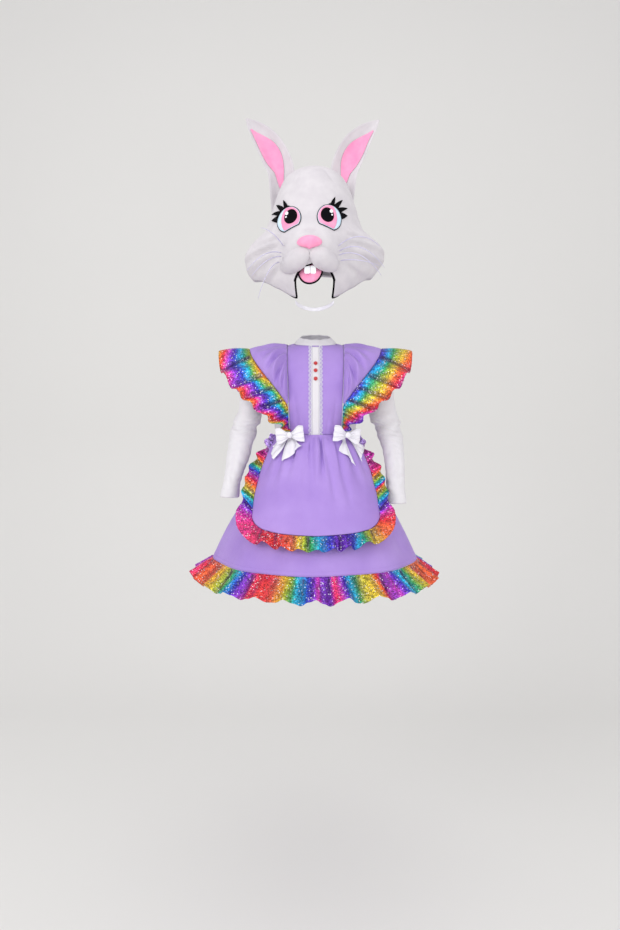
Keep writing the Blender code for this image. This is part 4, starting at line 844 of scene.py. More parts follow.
def front_point(x, height, lift):
    """A point over the front panel, straight out from the cloth."""
    angle = np.arcsin(x / TORSO.at(height, "half_width"))
    return torso_point(angle, height) + torso_normal(angle, height) * col(lift)


def placket():
    u, v = grid(14, 110)
    height = lerp(PLACKET_TOP, WAIST, v)
    crown = 0.0006 * np.sin(pi * u) + 0.0003 * np.sin(46 * v + 2 * u)
    points = front_point(lerp(-PLACKET_HALF, PLACKET_HALF, u), height, PLACKET_LIFT + crown * 0.5)
    piece = cloth("placket", points, DRESS_WALL, white_jersey, "white_jersey", "placket", size=(0.019, 0.27))
    for suffix, x in (("left", -0.0074), ("right", 0.0074)):
        heights = np.linspace(PLACKET_TOP - 0.003, WAIST + 0.004, 80)
        line = front_point(np.full(80, x), heights, np.full(80, SEAM_GAP + 0.0004 + DRESS_WALL))
        facing = torso_normal(np.arcsin(x / TORSO.at(heights, "half_width")), heights)
        stitches(f"placket_stitches_{suffix}", line, facing, stitch_white, "white_jersey")


placket()

# %% Red buttons, turned from one profile
BUTTON_PROFILE = ((0.0, 0.0022), (0.0022, 0.0022), (0.0030, 0.0026), (0.0038, 0.0034), (0.0046, 0.0036),
                  (0.0053, 0.0030), (0.0055, 0.0018), (0.0050, 0.0006), (0.0036, 0.0), (0.0, 0.0))
BUTTON_HEIGHTS = (-0.056, -0.081, -0.108)
BUTTON_SIDES = 28


def button(number, height):
    """A moulded disc with a raised rim, and a cross of thread over its middle."""
    bm = bmesh.new()
    rings = []
    for radius, rise in BUTTON_PROFILE:
        turns = [0.0] if radius == 0 else np.arange(BUTTON_SIDES) / BUTTON_SIDES * 2 * pi
        rings.append([bm.verts.new((radius * np.cos(t), radius * np.sin(t), rise)) for t in turns])
    for near, far in zip(rings, rings[1:]):
        for i in range(BUTTON_SIDES):
            j = (i + 1) % BUTTON_SIDES
            corners = [near[i % len(near)], far[i % len(far)], far[j % len(far)], near[j % len(near)]]
            bm.faces.new(list(dict.fromkeys(corners)))
    for turn in (pi / 4, -pi / 4):
        thread = bmesh.ops.create_icosphere(bm, subdivisions=1, radius=1.0)["verts"]
        for vert in thread:
            x, y = vert.co.x * 0.0017, vert.co.y * 0.00035
            vert.co = (x * np.cos(turn) - y * np.sin(turn), x * np.sin(turn) + y * np.cos(turn),
                       0.0023 + vert.co.z * 0.0004)
    bmesh.ops.recalc_face_normals(bm, faces=bm.faces)
    zero, high = np.zeros(1), np.array([height])
    seat = Vector(front_point(zero, high, np.array([SEAM_GAP * 3 + 0.0002 + DRESS_WALL]))[0])
    out = Vector(torso_normal(zero, high)[0])
    matrix = Vector((0, 0, 1)).rotation_difference(out).to_matrix().to_4x4()
    bmesh.ops.transform(bm, matrix=matrix, verts=bm.verts)
    bmesh.ops.translate(bm, vec=seat, verts=bm.verts)
    mesh = bpy.data.meshes.new(f"button_{number}")
    bm.to_mesh(mesh)
    bm.free()
    mesh.shade_smooth()
    add_piece(f"button_{number}", mesh, red_plastic, "red_button", f"button_{number}")


for number, height in enumerate(BUTTON_HEIGHTS, 1):
    button(number, height)
print("three buttons")

# %% Lace scallops by the row tree
SCALLOP = 0.0125


def thread_tube(bm, points, radius, sides=5):
    """A round thread through points."""
    points = np.asarray(points, float)
    along = unit(np.gradient(points, axis=0))
    across = unit(np.cross(along, (0, 0, 1)))
    upright = np.cross(across, along)
    turn = np.arange(sides) / sides * 2 * pi
    rings = [[bm.verts.new(p + radius * (a * np.cos(t) + b * np.sin(t))) for t in turn]
             for p, a, b in zip(points, across, upright)]
    for near, far in zip(rings, rings[1:]):
        for i in range(sides):
            j = (i + 1) % sides
            bm.faces.new((near[i], near[j], far[j], far[i]))
    bm.faces.new(rings[0][::-1])
    bm.faces.new(rings[-1])


def scallop_motif():
    """A fan of threads: X runs along the placket, Y out from it, Z away from the cloth."""
    bm = bmesh.new()
    half = SCALLOP / 2
    for reach, low in ((0.0098, 0.0036), (0.0072, 0.0026)):
        turn = np.linspace(0, pi, 11)
        across = half * 0.98 * np.cos(turn) * (reach / 0.0098) ** 0.3
        arc = np.stack([across, low + (reach - low) * np.sin(turn), 0 * turn], 1)
        thread_tube(bm, arc, 0.00042)
    for end in (-0.8, -0.4, 0.0, 0.4, 0.8):
        spoke = [(end * half * 0.45, 0.0012, 0.0003),
                 (end * half * 0.95, 0.0096 - 0.0052 * abs(end) ** 2, 0.0003)]
        thread_tube(bm, spoke, 0.00032, 4)
    for rise in (0.0006, 0.0020):
        thread_tube(bm, [(-half, rise, 0), (0, rise, 0.0002), (half, rise, 0)], 0.00055)
    bmesh.ops.recalc_face_normals(bm, faces=bm.faces)
    return small_motif("one_scallop", bm)


one_scallop = scallop_motif()


def lace(suffix, side):
    heights = np.linspace(PLACKET_TOP - 0.001, WAIST + 0.001, 200)
    if side < 0:
        heights = heights[::-1]
    x = np.full(200, side * (PLACKET_HALF + 0.0004))
    line = front_point(x, heights, np.full(200, 0.0011))
    facing = torso_normal(np.arcsin(x / TORSO.at(heights, "half_width")), heights)
    piece = run_tree(row_tree, line_mesh(f"lace_{suffix}", line, facing), f"lace_{suffix}", "white_lace",
                     motif=one_scallop, spacing=SCALLOP, finish=lace_thread)
    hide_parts(f"lace_{suffix}")
    low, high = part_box(f"lace_{suffix}")
    print(piece.name, len(piece.data.polygons), "faces, CAD x", round(low.x, 4), round(high.x, 4), "made x",
          [round(f(v.co.x for v in piece.data.vertices), 4) for f in (min, max)])


for suffix, side in (("left", LEFT), ("right", RIGHT)):
    lace(suffix, side)

# %% [markdown]
# ## Wings
# A flutter wing is a half circle of cotton, gathered into the shoulder seam and set off by a ruffle. The
# gathers start deep at the seam and run out to the ruffle, so the folds fan out from the shoulder.

# %% Rules of the wings


def mirrored(rows):
    back = [(1 - key, x, -y, z) for key, x, y, z in rows if key < 0.5]
    return Table(("key", "x", "y", "z"), *rows, *back)


def seam_row(key, height):
    angle = wing_seam_angle(height)
    return (key, *(torso_point(angle, height) + torso_normal(angle, height) * WING_LIFT))


WING_LIFT, WING_START, WING_SEAM_END, SHOULDER_RIDGE = 0.0024, 0.185, -0.172, -0.0046
WING_WAVES = 12
WING_EDGE = mirrored([seam_row(0.00, -0.244), seam_row(0.08, -0.214), seam_row(0.16, -0.186),
                      (0.24, 0.096, -0.0990, -0.152), (0.32, 0.122, -0.1030, -0.118),
                      (0.40, 0.154, -0.0860, -0.078), (0.46, 0.180, -0.0480, -0.038),
                      (0.50, 0.189, 0.0, -0.014)])
WING_RIM = mirrored([(0.00, 0.078, -0.088, -0.2560), (0.08, 0.103, -0.108, -0.2350),
                     (0.16, 0.137, -0.118, -0.2120), (0.24, 0.172, -0.119, -0.1820),
                     (0.32, 0.208, -0.110, -0.1500), (0.40, 0.246, -0.086, -0.1080),
                     (0.46, 0.270, -0.046, -0.0660), (0.50, 0.278, 0.0, -0.0350)])
# Folds: place along the shoulder seam and share of the way out at both ends, half width and height in metres
WING_FOLDS = ((0.475, 0.02, 0.445, 0.80, 0.0075, -0.0040), (0.440, 0.02, 0.375, 0.85, 0.0085, -0.0062),
              (0.405, 0.05, 0.335, 0.60, 0.0055, 0.0036), (0.370, 0.00, 0.285, 0.92, 0.0080, -0.0066),
              (0.330, 0.02, 0.245, 0.70, 0.0055, 0.0034), (0.290, 0.00, 0.165, 0.98, 0.0085, -0.0080),
              (0.230, 0.00, 0.090, 0.85, 0.0060, -0.0034), (0.500, 0.00, 0.500, 0.55, 0.0060, 0.0024),
              (0.530, 0.02, 0.565, 0.80, 0.0080, -0.0052), (0.590, 0.02, 0.640, 0.88, 0.0080, -0.0056),
              (0.635, 0.02, 0.700, 0.70, 0.0060, 0.0032), (0.680, 0.00, 0.780, 0.95, 0.0085, -0.0064),
              (0.760, 0.00, 0.880, 0.90, 0.0070, -0.0040))


def wing_frame(key):
    out = unit(WING_RIM.vector(key) - WING_EDGE.vector(key))
    along = (WING_EDGE.vector(key + 0.01) - WING_EDGE.vector(key - 0.01)
             + WING_RIM.vector(key + 0.01) - WING_RIM.vector(key - 0.01))
    return out, unit(np.cross(out, along))


def wing(name, side):
    u, v = grid(180, 64)
    key = lerp(WING_START, 1 - WING_START, u)
    height = lerp(SHOULDER_RIDGE, WING_SEAM_END, 1 - np.sin(pi * u))
    angle = wing_seam_angle(height)
    angle = np.where(np.cos(pi * u) < 0, pi - angle, angle)
    seam = torso_point(angle, height) + torso_normal(angle, height) * WING_LIFT
    middle = np.sin(pi * u)
    gather = 0.0034 * middle * np.cos(2 * pi * 15 * u + 1.6 * np.sin(9 * u))
    gather = gather * np.exp(-4.0 * v) * step_between(0, 0.06, v)
    swell = 0.005 * middle + 0.024 * np.abs(np.sin(2 * pi * u))
    folds = creases(u * 0.34, v * 0.11, scaled(WING_FOLDS, 0.34, 0.11))
    held = np.sin(pi * v) ** 0.6
    lift = swell * np.sin(pi * v) ** 0.8 + gather + 2.1 * folds * held * step_between(0.0, 0.1, middle)
    points = side_of(lerp(seam, WING_EDGE.vector(key), col(v)) + wing_frame(key)[1] * col(lift), side)
    piece = cloth(name, points, DRESS_WALL, lilac_cotton, "lilac_cotton", name, side=side, size=(0.42, 0.12))


def valleys(wave, v):
    """How deep a place lies between two waves of a ruffle, from 0 to 1, most at the gathered edge."""
    return step_between(0.35, 1.0, -wave) * (1 - 0.55 * v) * step_between(0.0, 0.08, v)


def wing_ruffle(name, side):
    u, v = grid(14 * WING_WAVES, 18)
    out, face = wing_frame(u)
    root = WING_EDGE.vector(u) + out * 0.0010
    spread = np.sin(pi * np.clip(u, 0, 1)) ** 0.5
    uneven = 1 + 0.3 * np.sin(5.1 * pi * u + 0.6)
    wave = np.cos(2 * pi * WING_WAVES * u + 0.6 * np.sin(6 * pi * u))
    pleat = np.cos(2 * pi * 2.5 * WING_WAVES * u + 2.0 * np.sin(4 * pi * u))
    swing = (0.0120 * uneven * wave * v ** 1.1 * (0.35 + 0.65 * spread)
             + 0.0026 * pleat * np.sin(pi * v) ** 0.6)
    points = (lerp(root, WING_RIM.vector(u), col(v)) + face * col(swing + 0.010 * v * (1 - v))
              - out * col(0.004 * wave * v))
    low = 1 - step_between(0.06, 0.22, np.minimum(u, 1 - u))
    drift = 0.13 * np.sin(9 * u * pi) + 0.10 * wave * v + 0.07 * np.sin(31 * u + 5 * v) + 0.12 * low
    valley = valleys(wave, v) + 0.5 * valleys(pleat, v)
    if side < 0:
        rainbow = 0.20 + 0.22 * low + 0.84 * v + drift * 0.6
    else:
        rainbow = 1.62 - 0.22 * low - 0.64 * v - 0.25 * low * v + drift * 0.4
    piece = cloth(name, side_of(points, side), RUFFLE_WALL, rainbow_foil, "rainbow_foil", name, side=side,
                  size=(0.80, 0.075), marks={"rainbow": rainbow, "lilac": 0.0, "valley": valley})
    sequins(f"{name}_sequins", piece, 60000)


for suffix, side in (("left", LEFT), ("right", RIGHT)):
    wing(f"wing_{suffix}", side)
    wing_ruffle(f"wing_ruffle_{suffix}", side)
print("wings made,", len(PIECES), "pieces so far")

# %% [markdown]
# ## Skirt and apron
# The underskirt flares from a gathered waist. The apron lies over it, gathered at the waist too, so the
# folds are deep there and fade out on the way down. Both ruffles ripple because a longer strip is sewn to a
# shorter edge, and they follow one wave rule with uneven height.

# %% Underskirt and hem ruffle
SKIRT = Table(("height", "half_width", "half_depth"),
              (WAIST, 0.1150, 0.0900), (-0.275, 0.1190, 0.0960), (-0.300, 0.1330, 0.1130),
              (-0.340, 0.1520, 0.1350), (-0.390, 0.1760, 0.1620), (-0.450, 0.2080, 0.1970),
              (-0.530, 0.2540, 0.2460), (HEM, 0.2930, 0.2900))
HEM_WAVES = 26
# Colours of the front of the hem ruffle: angle from the front in degrees, and the place in the rainbow
HEM_COLOURS = Table(("angle", "rainbow"),
                    (-180, -1.6), (-140, -0.9), (-110, -0.4), (-80, 0.0), (-64, 0.10), (-54, 0.22),
                    (-48.8, 0.33), (-45, 0.40), (-41.5, 0.50), (-37.8, 0.62), (-35.2, 0.74), (-32.5, 0.86),
                    (-29.8, 0.98), (-25.8, 1.00), (-22.2, 1.02), (-18.5, 1.12), (-14.5, 1.22),
                    (-11.2, 1.36), (-8.8, 1.47), (-5.8, 1.53), (-3.2, 1.63), (-1.0, 1.74), (0.8, 1.86),
                    (2.8, 1.74), (5.8, 1.72), (8.2, 1.98), (11.0, 1.84), (14.0, 1.58), (16.8, 1.48),
                    (19.5, 1.38), (22.5, 1.26), (27.5, 1.20), (31.0, 1.00), (34.5, 0.80), (37.5, 0.84),
                    (40.0, 0.64), (43.5, 0.52), (48.0, 0.46), (53.5, 0.30), (59.0, 0.14), (79.8, 0.02),
                    (110, -0.5), (140, -1.1), (180, -1.6))
SKIRT_FOLDS = ((-1.20, 0.30, -1.32, 0.60, 0.016, -0.0034), (-0.75, 0.32, -0.90, 0.60, 0.018, -0.0030),
               (0.85, 0.30, 1.05, 0.60, 0.018, -0.0034), (0.45, 0.45, 0.52, 0.61, 0.014, -0.0026),
               (-0.30, 0.50, -0.36, 0.61, 0.014, -0.0020), (1.50, 0.30, 1.62, 0.60, 0.018, 0.0030),
               (-1.62, 0.30, -1.70, 0.58, 0.018, 0.0032), (2.20, 0.28, 2.32, 0.60, 0.020, -0.0040),
               (-2.40, 0.28, -2.30, 0.60, 0.020, -0.0040), (2.85, 0.28, 2.95, 0.58, 0.018, 0.0036),
               (-2.90, 0.30, -2.80, 0.58, 0.018, -0.0036))


def skirt_point(angle, height):
    low = (WAIST - height) / (WAIST - HEM)
    gather = 0.0030 * np.cos(24 * angle) * step_between(-0.02, 0.10, low) * (1 - step_between(0.1, 0.42, low))
    broad = 0.0050 * (0.6 * np.cos(9 * angle + 0.4) + 0.4 * np.cos(5 * angle + 1.9))
    broad = broad * step_between(0.2, 1.0, low)
    width = SKIRT.at(height, "half_width") + gather + broad
    depth = SKIRT.at(height, "half_depth") + gather + broad
    return vec(width * np.sin(angle), -depth * np.cos(angle), height)


def skirt_normal(angle, height, step=0.001):
    around = skirt_point(angle + step, height) - skirt_point(angle - step, height)
    down = skirt_point(angle, height - step) - skirt_point(angle, height + step)
    return unit(np.cross(down, around))


def underskirt():
    u, v = grid(360, 70, closed=True)
    angle = 2 * pi * u
    height = lerp(WAIST - SEAM_GAP, HEM, v ** 1.1)
    turned = np.where(angle > pi, angle - 2 * pi, angle)
    folds = creases(turned * 0.22, -height, scaled(SKIRT_FOLDS, 0.22, 1.0)) * (1 - step_between(0.90, 1.0, v))
    points = skirt_point(angle, height) + skirt_normal(angle, height) * col(np.minimum(folds, 0.0035))
    piece = cloth("underskirt", points, DRESS_WALL, lilac_cotton, "lilac_cotton", "underskirt", True,
                  size=(1.6, 0.42))
    facing = skirt_normal(angle[-3], height[-3])
    stitches("hem_stitches", points[-3] + facing * THREAD_LIFT, facing, stitch_lilac, "lilac_cotton",
             True, 0.0040)


def hem_ruffle():
    u, v = grid(16 * HEM_WAVES, 20, closed=True)
    angle = 2 * pi * u
    radial = vec(np.sin(angle), -np.cos(angle), 0.0)
    face = radial * np.array((0.63, 0.63, 0.0)) + UP * 0.77
    uneven = 1 + 0.28 * np.sin(3 * angle + 0.7) + 0.15 * np.sin(7 * angle)
    wave = np.cos(HEM_WAVES * angle + 0.7 * np.sin(3 * angle) + 0.4 * np.sin(5 * angle + 1))
    pleat = np.cos(70 * angle + 2.2 * np.sin(4 * angle) + 1.4 * np.sin(9 * angle))
    swing = (0.0100 * uneven * wave * v ** 1.1 + 0.0016 * wave * (1 - v)
             + 0.0036 * pleat * np.sin(pi * np.minimum(v, 0.8)) ** 0.6)
    valley = 0.8 * valleys(wave, v) + 0.6 * valleys(pleat, v)
    points = (skirt_point(angle, np.full_like(angle, HEM)) - UP * col(SEAM_GAP * 1.5 + 0.049 * v ** 0.95)
              + radial * col(0.060 * v ** 1.1) + face * col(swing * np.minimum(1.0, 4 * v)))
    turned = np.degrees(np.where(angle > pi, angle - 2 * pi, angle))
    rainbow = HEM_COLOURS.at(turned, "rainbow")
    piece = cloth("hem_ruffle", points, RUFFLE_WALL, rainbow_foil, "rainbow_foil", "hem_ruffle", True,
                  size=(3.0, 0.08), marks={"rainbow": rainbow, "lilac": 0.0, "valley": valley})
    sequins("hem_sequins", piece, 52000)


underskirt()
hem_ruffle()
print("skirt made")

# %% Apron and its ruffle
APRON_HALF = Table(("height", "half_width"), (WAIST, 0.1080), (-0.300, 0.1220), (-0.340, 0.1370),
                   (-0.390, 0.1520), (-0.440, 0.1620), (-0.530, 0.1640))
APRON_FOOT = Table(("place", "height"), (0.00, -0.5220), (0.50, -0.5190), (0.80, -0.5120), (0.93, -0.5010),
                   (1.00, -0.4860))
APRON_LIFT = Table(("height", "lift"), (WAIST, 0.0036), (-0.300, 0.0085), (-0.400, 0.0095), (-0.530, 0.0110))
APRON_WAVES, APRON_SIDE_SHARE = 20, 0.30
APRON_RUFFLE_WIDTH = Table(("key", "width", "lean"),
                           (0.00, 0.014, 46), (0.06, 0.026, 46), (0.14, 0.036, 44), (0.25, 0.044, 40),
                           (0.33, 0.045, 24), (0.50, 0.044, 14), (0.67, 0.045, 24), (0.75, 0.040, 38),
                           (0.86, 0.032, 42), (0.94, 0.024, 46), (1.00, 0.014, 46))
APRON_COLOURS = Table(("key", "rainbow"),
                      (0.000, -0.20), (0.060, -0.15), (0.083, -0.10), (0.098, 0.00), (0.116, 0.22),
                      (0.137, 0.45), (0.157, 0.72), (0.175, 0.90), (0.202, 1.10), (0.226, 1.25),
                      (0.244, 1.42), (0.264, 1.55), (0.285, 1.75), (0.314, 1.95), (0.360, 2.00),
                      (0.411, 2.05), (0.432, 2.12), (0.457, 2.25), (0.484, 2.40), (0.509, 2.50),
                      (0.533, 2.60), (0.568, 2.72), (0.603, 2.66), (0.637, 2.42), (0.662, 2.25),
                      (0.690, 2.05), (0.715, 1.75), (0.736, 1.60), (0.759, 1.40), (0.774, 1.25),
                      (0.789, 1.05), (0.800, 0.55), (0.813, 0.40), (0.828, 0.25), (0.840, 0.12),
                      (0.850, 0.00), (0.875, -0.10), (0.920, -0.15), (1.000, -0.20))
# Folds: place across and share of the way down at both ends, half width and height in metres
APRON_FOLDS = ((-0.04, 0.00, -0.06, 0.60, 0.0050, -0.0034), (0.10, 0.00, 0.13, 0.46, 0.0045, -0.0032),
               (0.21, 0.00, 0.30, 0.66, 0.0055, -0.0038), (-0.20, 0.00, -0.27, 0.50, 0.0050, -0.0026),
               (-0.42, 0.03, -0.52, 0.46, 0.0060, -0.0024), (0.42, 0.04, 0.54, 0.74, 0.0065, -0.0030),
               (0.03, 0.00, 0.03, 0.40, 0.0045, 0.0030), (0.16, 0.00, 0.20, 0.40, 0.0045, 0.0030),
               (-0.12, 0.00, -0.15, 0.36, 0.0045, 0.0026), (0.33, 0.00, 0.42, 0.40, 0.0050, 0.0024),
               (-0.62, 0.10, -0.74, 0.60, 0.0070, -0.0022), (0.68, 0.12, 0.78, 0.60, 0.0070, -0.0024),
               (0.00, 0.45, 0.02, 0.95, 0.0110, -0.0016), (-0.34, 0.45, -0.40, 0.92, 0.0120, -0.0016),
               (0.44, 0.55, 0.52, 0.95, 0.0100, 0.0014))


def apron_point(place, part, lift=0.0):
    """place runs from -1 to 1 across, part from the waist (0) to the lower edge (1)."""
    height = lerp(WAIST - SEAM_GAP, APRON_FOOT.at(np.abs(place), "height"), part)
    half = APRON_HALF.at(height, "half_width")
    angle = np.arcsin(np.clip(place * half / SKIRT.at(height, "half_width"), -1.0, 1.0))
    gather = 0.0026 * (1 + np.cos(pi * 10 * (place + 1))) * np.exp(-3.0 * part)
    gather = gather * step_between(0.0, 0.06, part) * np.maximum(0.0, 1 - np.abs(place) ** 4)
    rise = APRON_LIFT.at(height, "lift") + gather + lift
    return skirt_point(angle, height) + skirt_normal(angle, height) * col(rise)


def apron():
    u, v = grid(180, 110)
    place = 2 * u - 1
    folds = creases(place * 0.12, v * 0.25, scaled(APRON_FOLDS, 0.12, 0.25))
    inner = 1 - step_between(0.90, 1.0, np.abs(place))
    folds *= step_between(0.0, 0.08, v) * (1 - step_between(0.90, 1.0, v)) * inner
    fine = 0.0007 * np.cos(62 * place + 3 * np.sin(5 * place)) * np.exp(-7 * v) * step_between(0.0, 0.05, v)
    points = apron_point(place, v, 1.25 * folds + fine)
    piece = cloth("apron", points, DRESS_WALL, lilac_cotton, "lilac_cotton", "apron", size=(0.34, 0.27))


def apron_edge(key):
    """Points of the apron's edge from the left waist round to the right waist, with two directions."""
    low, high = APRON_SIDE_SHARE, 1 - APRON_SIDE_SHARE
    place = np.where(key < low, -1.0, np.where(key > high, 1.0, 2 * (key - low) / (high - low) - 1))
    part = np.where(key < low, key / low, np.where(key > high, (1 - key) / low, 1.0))
    point = apron_point(place, part)
    to_side = unit(point - apron_point(place * 0.99, part)) * col(np.abs(place) > 0.02)
    above = apron_point(place, np.where(part > 0.02, part * 0.98, part + 0.02))
    to_foot = unit(point - above) * col(np.where(part > 0.02, 1.0, -1.0))
    corner = col(step_between(low - 0.05, low + 0.07, np.minimum(key, 1 - key)))
    out = unit(to_side * (1 - corner) + to_foot * corner)
    return point, out, unit(apron_point(place, part, 0.001) - point)


def apron_ruffle():
    u, v = grid(16 * APRON_WAVES, 20)
    point, out, normal = [np.repeat(found[None], len(v), 0) for found in apron_edge(u[0])]
    lean, length = np.radians(APRON_RUFFLE_WIDTH.at(u, "lean")), APRON_RUFFLE_WIDTH.at(u, "width")
    reach = out * col(np.cos(lean)) + normal * col(np.sin(lean))
    face = normal * col(np.cos(lean)) - out * col(np.sin(lean))
    uneven = 1 + 0.3 * np.sin(7 * pi * u + 0.4)
    wave = np.cos(2 * pi * APRON_WAVES * u + 0.8 * np.sin(4 * pi * u))
    pleat = np.cos(2 * pi * 52 * u + 2.0 * np.sin(9 * u))
    swing = 0.0095 * uneven * wave * v ** 1.1 + 0.006 * v * (1 - v) + 0.0026 * pleat * np.sin(pi * v) ** 0.6
    valley = 0.8 * valleys(wave, v) + 0.6 * valleys(pleat, v)
    points = point + out * 0.0017 + reach * col(length * v) + face * col(swing)
    end = np.minimum(u, 1 - u)
    lilac = 1 - step_between(0.055, 0.085, end + 0.012 * v)
    marks = {"rainbow": APRON_COLOURS.at(u, "rainbow"), "lilac": lilac, "valley": valley}
    piece = cloth("apron_ruffle", points, RUFFLE_WALL, rainbow_foil, "rainbow_foil", "apron_ruffle",
                  size=(1.3, 0.05), marks=marks)
    sequins("apron_sequins", piece, 52000)


apron()
apron_ruffle()
print("apron made")

# %% [markdown]
# ## Bows
# A bow is one band of satin folded to two loops, two cut tails behind it, and a short band wrapped over the
# middle. Satin is smooth and stiff, so it breaks into a few long creases that all run to the knot.

# %% Loops, tails and knot
BOW_PLACE = {LEFT: radians(35), RIGHT: radians(42)}
BOW_FACING = {LEFT: radians(8), RIGHT: radians(16)}
BOW_TILT = {LEFT: radians(7), RIGHT: radians(-9)}
TAIL_LIFT = {LEFT: 0.0120, RIGHT: 0.0100}
BOW_OUT, BOW_HALF, BOW_DEPTH, RIBBON_HALF, RIBBON_PINCH = 0.0340, 0.039, 0.0075, 0.0220, 0.0065
TAILS = np.array(((0.038, 0.054, 0.0140, 0.018), (0.027, 0.056, 0.0200, 0.019), (0.020, 0.068, 0.0165, 0.021),
                  (0.038, 0.060, 0.0130, 0.020)))


def bow_frame(side):
    seam = torso_point(np.array(side * BOW_PLACE[side]), np.array(WAIST))
    facing, tilt = side * BOW_FACING[side], BOW_TILT[side]
    out = np.array((np.sin(facing), -np.cos(facing), 0.0))
    across = np.array((np.cos(facing), np.sin(facing), 0.0))
    return (seam + out * BOW_OUT, across * np.cos(tilt) + UP * np.sin(tilt),
            UP * np.cos(tilt) - across * np.sin(tilt), out)


def bow_loops(prefix, side):
    middle, across, up, out = bow_frame(side)
    u, v = grid(160, 40, closed=True)
    turn = 2 * pi * u
    far = np.abs(np.cos(turn))
    depth = BOW_DEPTH * np.sin(turn) * (0.30 + 0.70 * far ** 0.8)
    half = lerp(RIBBON_PINCH, RIBBON_HALF, step_between(0.0, 0.75, far))
    fan = (0.0016 * far * np.cos(6 * pi * v)
           + 0.0016 * np.cos(10 * pi * v + side) * (1 - far) * step_between(0.05, 0.3, far))
    shift = 2 * side * np.sign(np.cos(turn))
    fan = fan + 0.0008 * np.cos(15 * pi * v + shift) * np.exp(-((far - 0.35) / 0.25) ** 2)
    points = (middle + across * col(BOW_HALF * np.cos(turn)) + out * col(depth + fan)
              + up * col(half * (2 * v - 1) + 0.0010 * np.sin(7 * far + 3 * v) * (2 * v - 1)))
    piece = cloth(f"{prefix}_loops", points, TRIM_WALL, white_satin, "white_satin", f"{prefix}_loops", True,
                  size=(0.16, 0.044))


def bow_tails(prefix, side):
    middle, across, up, out = bow_frame(side)
    u, v = grid(120, 34)
    along, place = 2 * u - 1, 2 * v - 1
    far = np.abs(along)
    turned = np.minimum(1.0, far * 6)
    sign = np.where(along > 0, 1, -1)
    reach0, drop, half0, slant = np.moveaxis(TAILS[(along > 0) * 1 + (2 if side == RIGHT else 0)], -1, 0)
    half = lerp(RIBBON_PINCH, half0, step_between(0.0, 0.8, far))
    reach = reach0 * far + RIBBON_PINCH * turned * (1 - far)
    half = np.where(place < 0, np.minimum(half, 0.8 * reach), half)
    spread = (reach + half * place * turned) * sign
    height = WAIST - 0.002 - drop * far + slant * far**2 * place
    angle = side * BOW_PLACE[side] + spread / SKIRT.at(height, "half_width")
    crease = 0.0016 * np.cos(5.5 * place + 1.0 * sign) + 0.0010 * np.cos(11 * place + 2 * far)
    lift = TAIL_LIFT[side] + 0.0048 * far + crease * step_between(0.1, 0.5, far)
    hanging = skirt_point(angle, height) + skirt_normal(angle, height) * col(lift)
    behind = out * (BOW_DEPTH * 0.30 + TRIM_WALL + SEAM_GAP * 5)
    held = middle - behind + across * col(spread) + up * col(RIBBON_PINCH * place * (1 - turned))
    points = lerp(held, hanging, col(step_between(0.0, 0.35, far)))
    piece = cloth(f"{prefix}_tails", points, TRIM_WALL, white_satin, "white_satin", f"{prefix}_tails",
                  size=(0.16, 0.036))


def ring_faces(rows, columns):
    """Faces between closed rings of points, each ring below the last."""
    return [(r * columns + c, r * columns + (c + 1) % columns, (r + 1) * columns + (c + 1) % columns,
             (r + 1) * columns + c) for r in range(rows - 1) for c in range(columns)]


def closed_mesh(mesh):
    """Join points that lie on each other, such as a pole, and turn the faces outwards."""
    bm = bmesh.new()
    bm.from_mesh(mesh)
    bmesh.ops.remove_doubles(bm, verts=bm.verts, dist=1e-6)
    bmesh.ops.dissolve_degenerate(bm, edges=bm.edges, dist=1e-7)
    bmesh.ops.delete(bm, geom=[edge for edge in bm.edges if not edge.link_faces], context="EDGES")
    bmesh.ops.recalc_face_normals(bm, faces=bm.faces)
    if bm.calc_volume(signed=True) < 0:
        bmesh.ops.reverse_faces(bm, faces=bm.faces)
    bm.to_mesh(mesh)
    bm.free()
    mesh.shade_smooth()


def bow_knot(prefix, side):
    """A short band drawn tight over the middle of the bow, closed into a puffed lens with creases."""
    middle, across, up, out = bow_frame(side)
    u, v = grid(48, 24, closed=True)
    turn, rise = 2 * pi * u, pi * v
    ring = np.sin(rise) * (1 + 0.10 * np.cos(7 * turn + side) * np.sin(rise))
    box = np.abs(np.cos(turn)) ** 4 + np.abs(np.sin(turn)) ** 4
    ring = ring / box ** 0.25
    points = (middle + across * col(0.0066 * ring * np.cos(turn)) + up * col(0.0086 * np.cos(rise) * -1)
              + out * col(BOW_DEPTH * 0.30 + 0.0062 + 0.0042 * ring * np.sin(turn)))
    mesh = bpy.data.meshes.new(f"{prefix}_knot")
    rows, columns = points.shape[:2]
    mesh.from_pydata(points.reshape(-1, 3).tolist(), [], ring_faces(rows, columns))
    maps = [(r / 24 * 0.02, c / 48 * 0.04) for r0 in range(rows - 1) for c0 in range(columns)
            for r, c in ((r0, c0), (r0, c0 + 1), (r0 + 1, c0 + 1), (r0 + 1, c0))]
    mesh.uv_layers.new(name="UVMap").data.foreach_set("uv", np.array(maps).reshape(-1))
    closed_mesh(mesh)
    add_piece(f"{prefix}_knot", mesh, white_satin, "white_satin", f"{prefix}_knot")


for suffix, side in (("left", LEFT), ("right", RIGHT)):
    bow_loops(f"bow_{suffix}", side)
    bow_tails(f"bow_{suffix}", side)
    bow_knot(f"bow_{suffix}", side)
print("bows made,", len(PIECES), "pieces so far")

# %% [markdown]
# ## Head mask
# The head is a ball of foam covered in short plush, pulled in at the forehead and full at the cheeks and the
# snout. Its radius is a rule of two angles, so the same rule makes the shell and seats every eye, tooth and
# whisker on it. A few soft creases show where the plush is drawn over the foam. A round black binding covers
# the cut edge of the mouth opening.

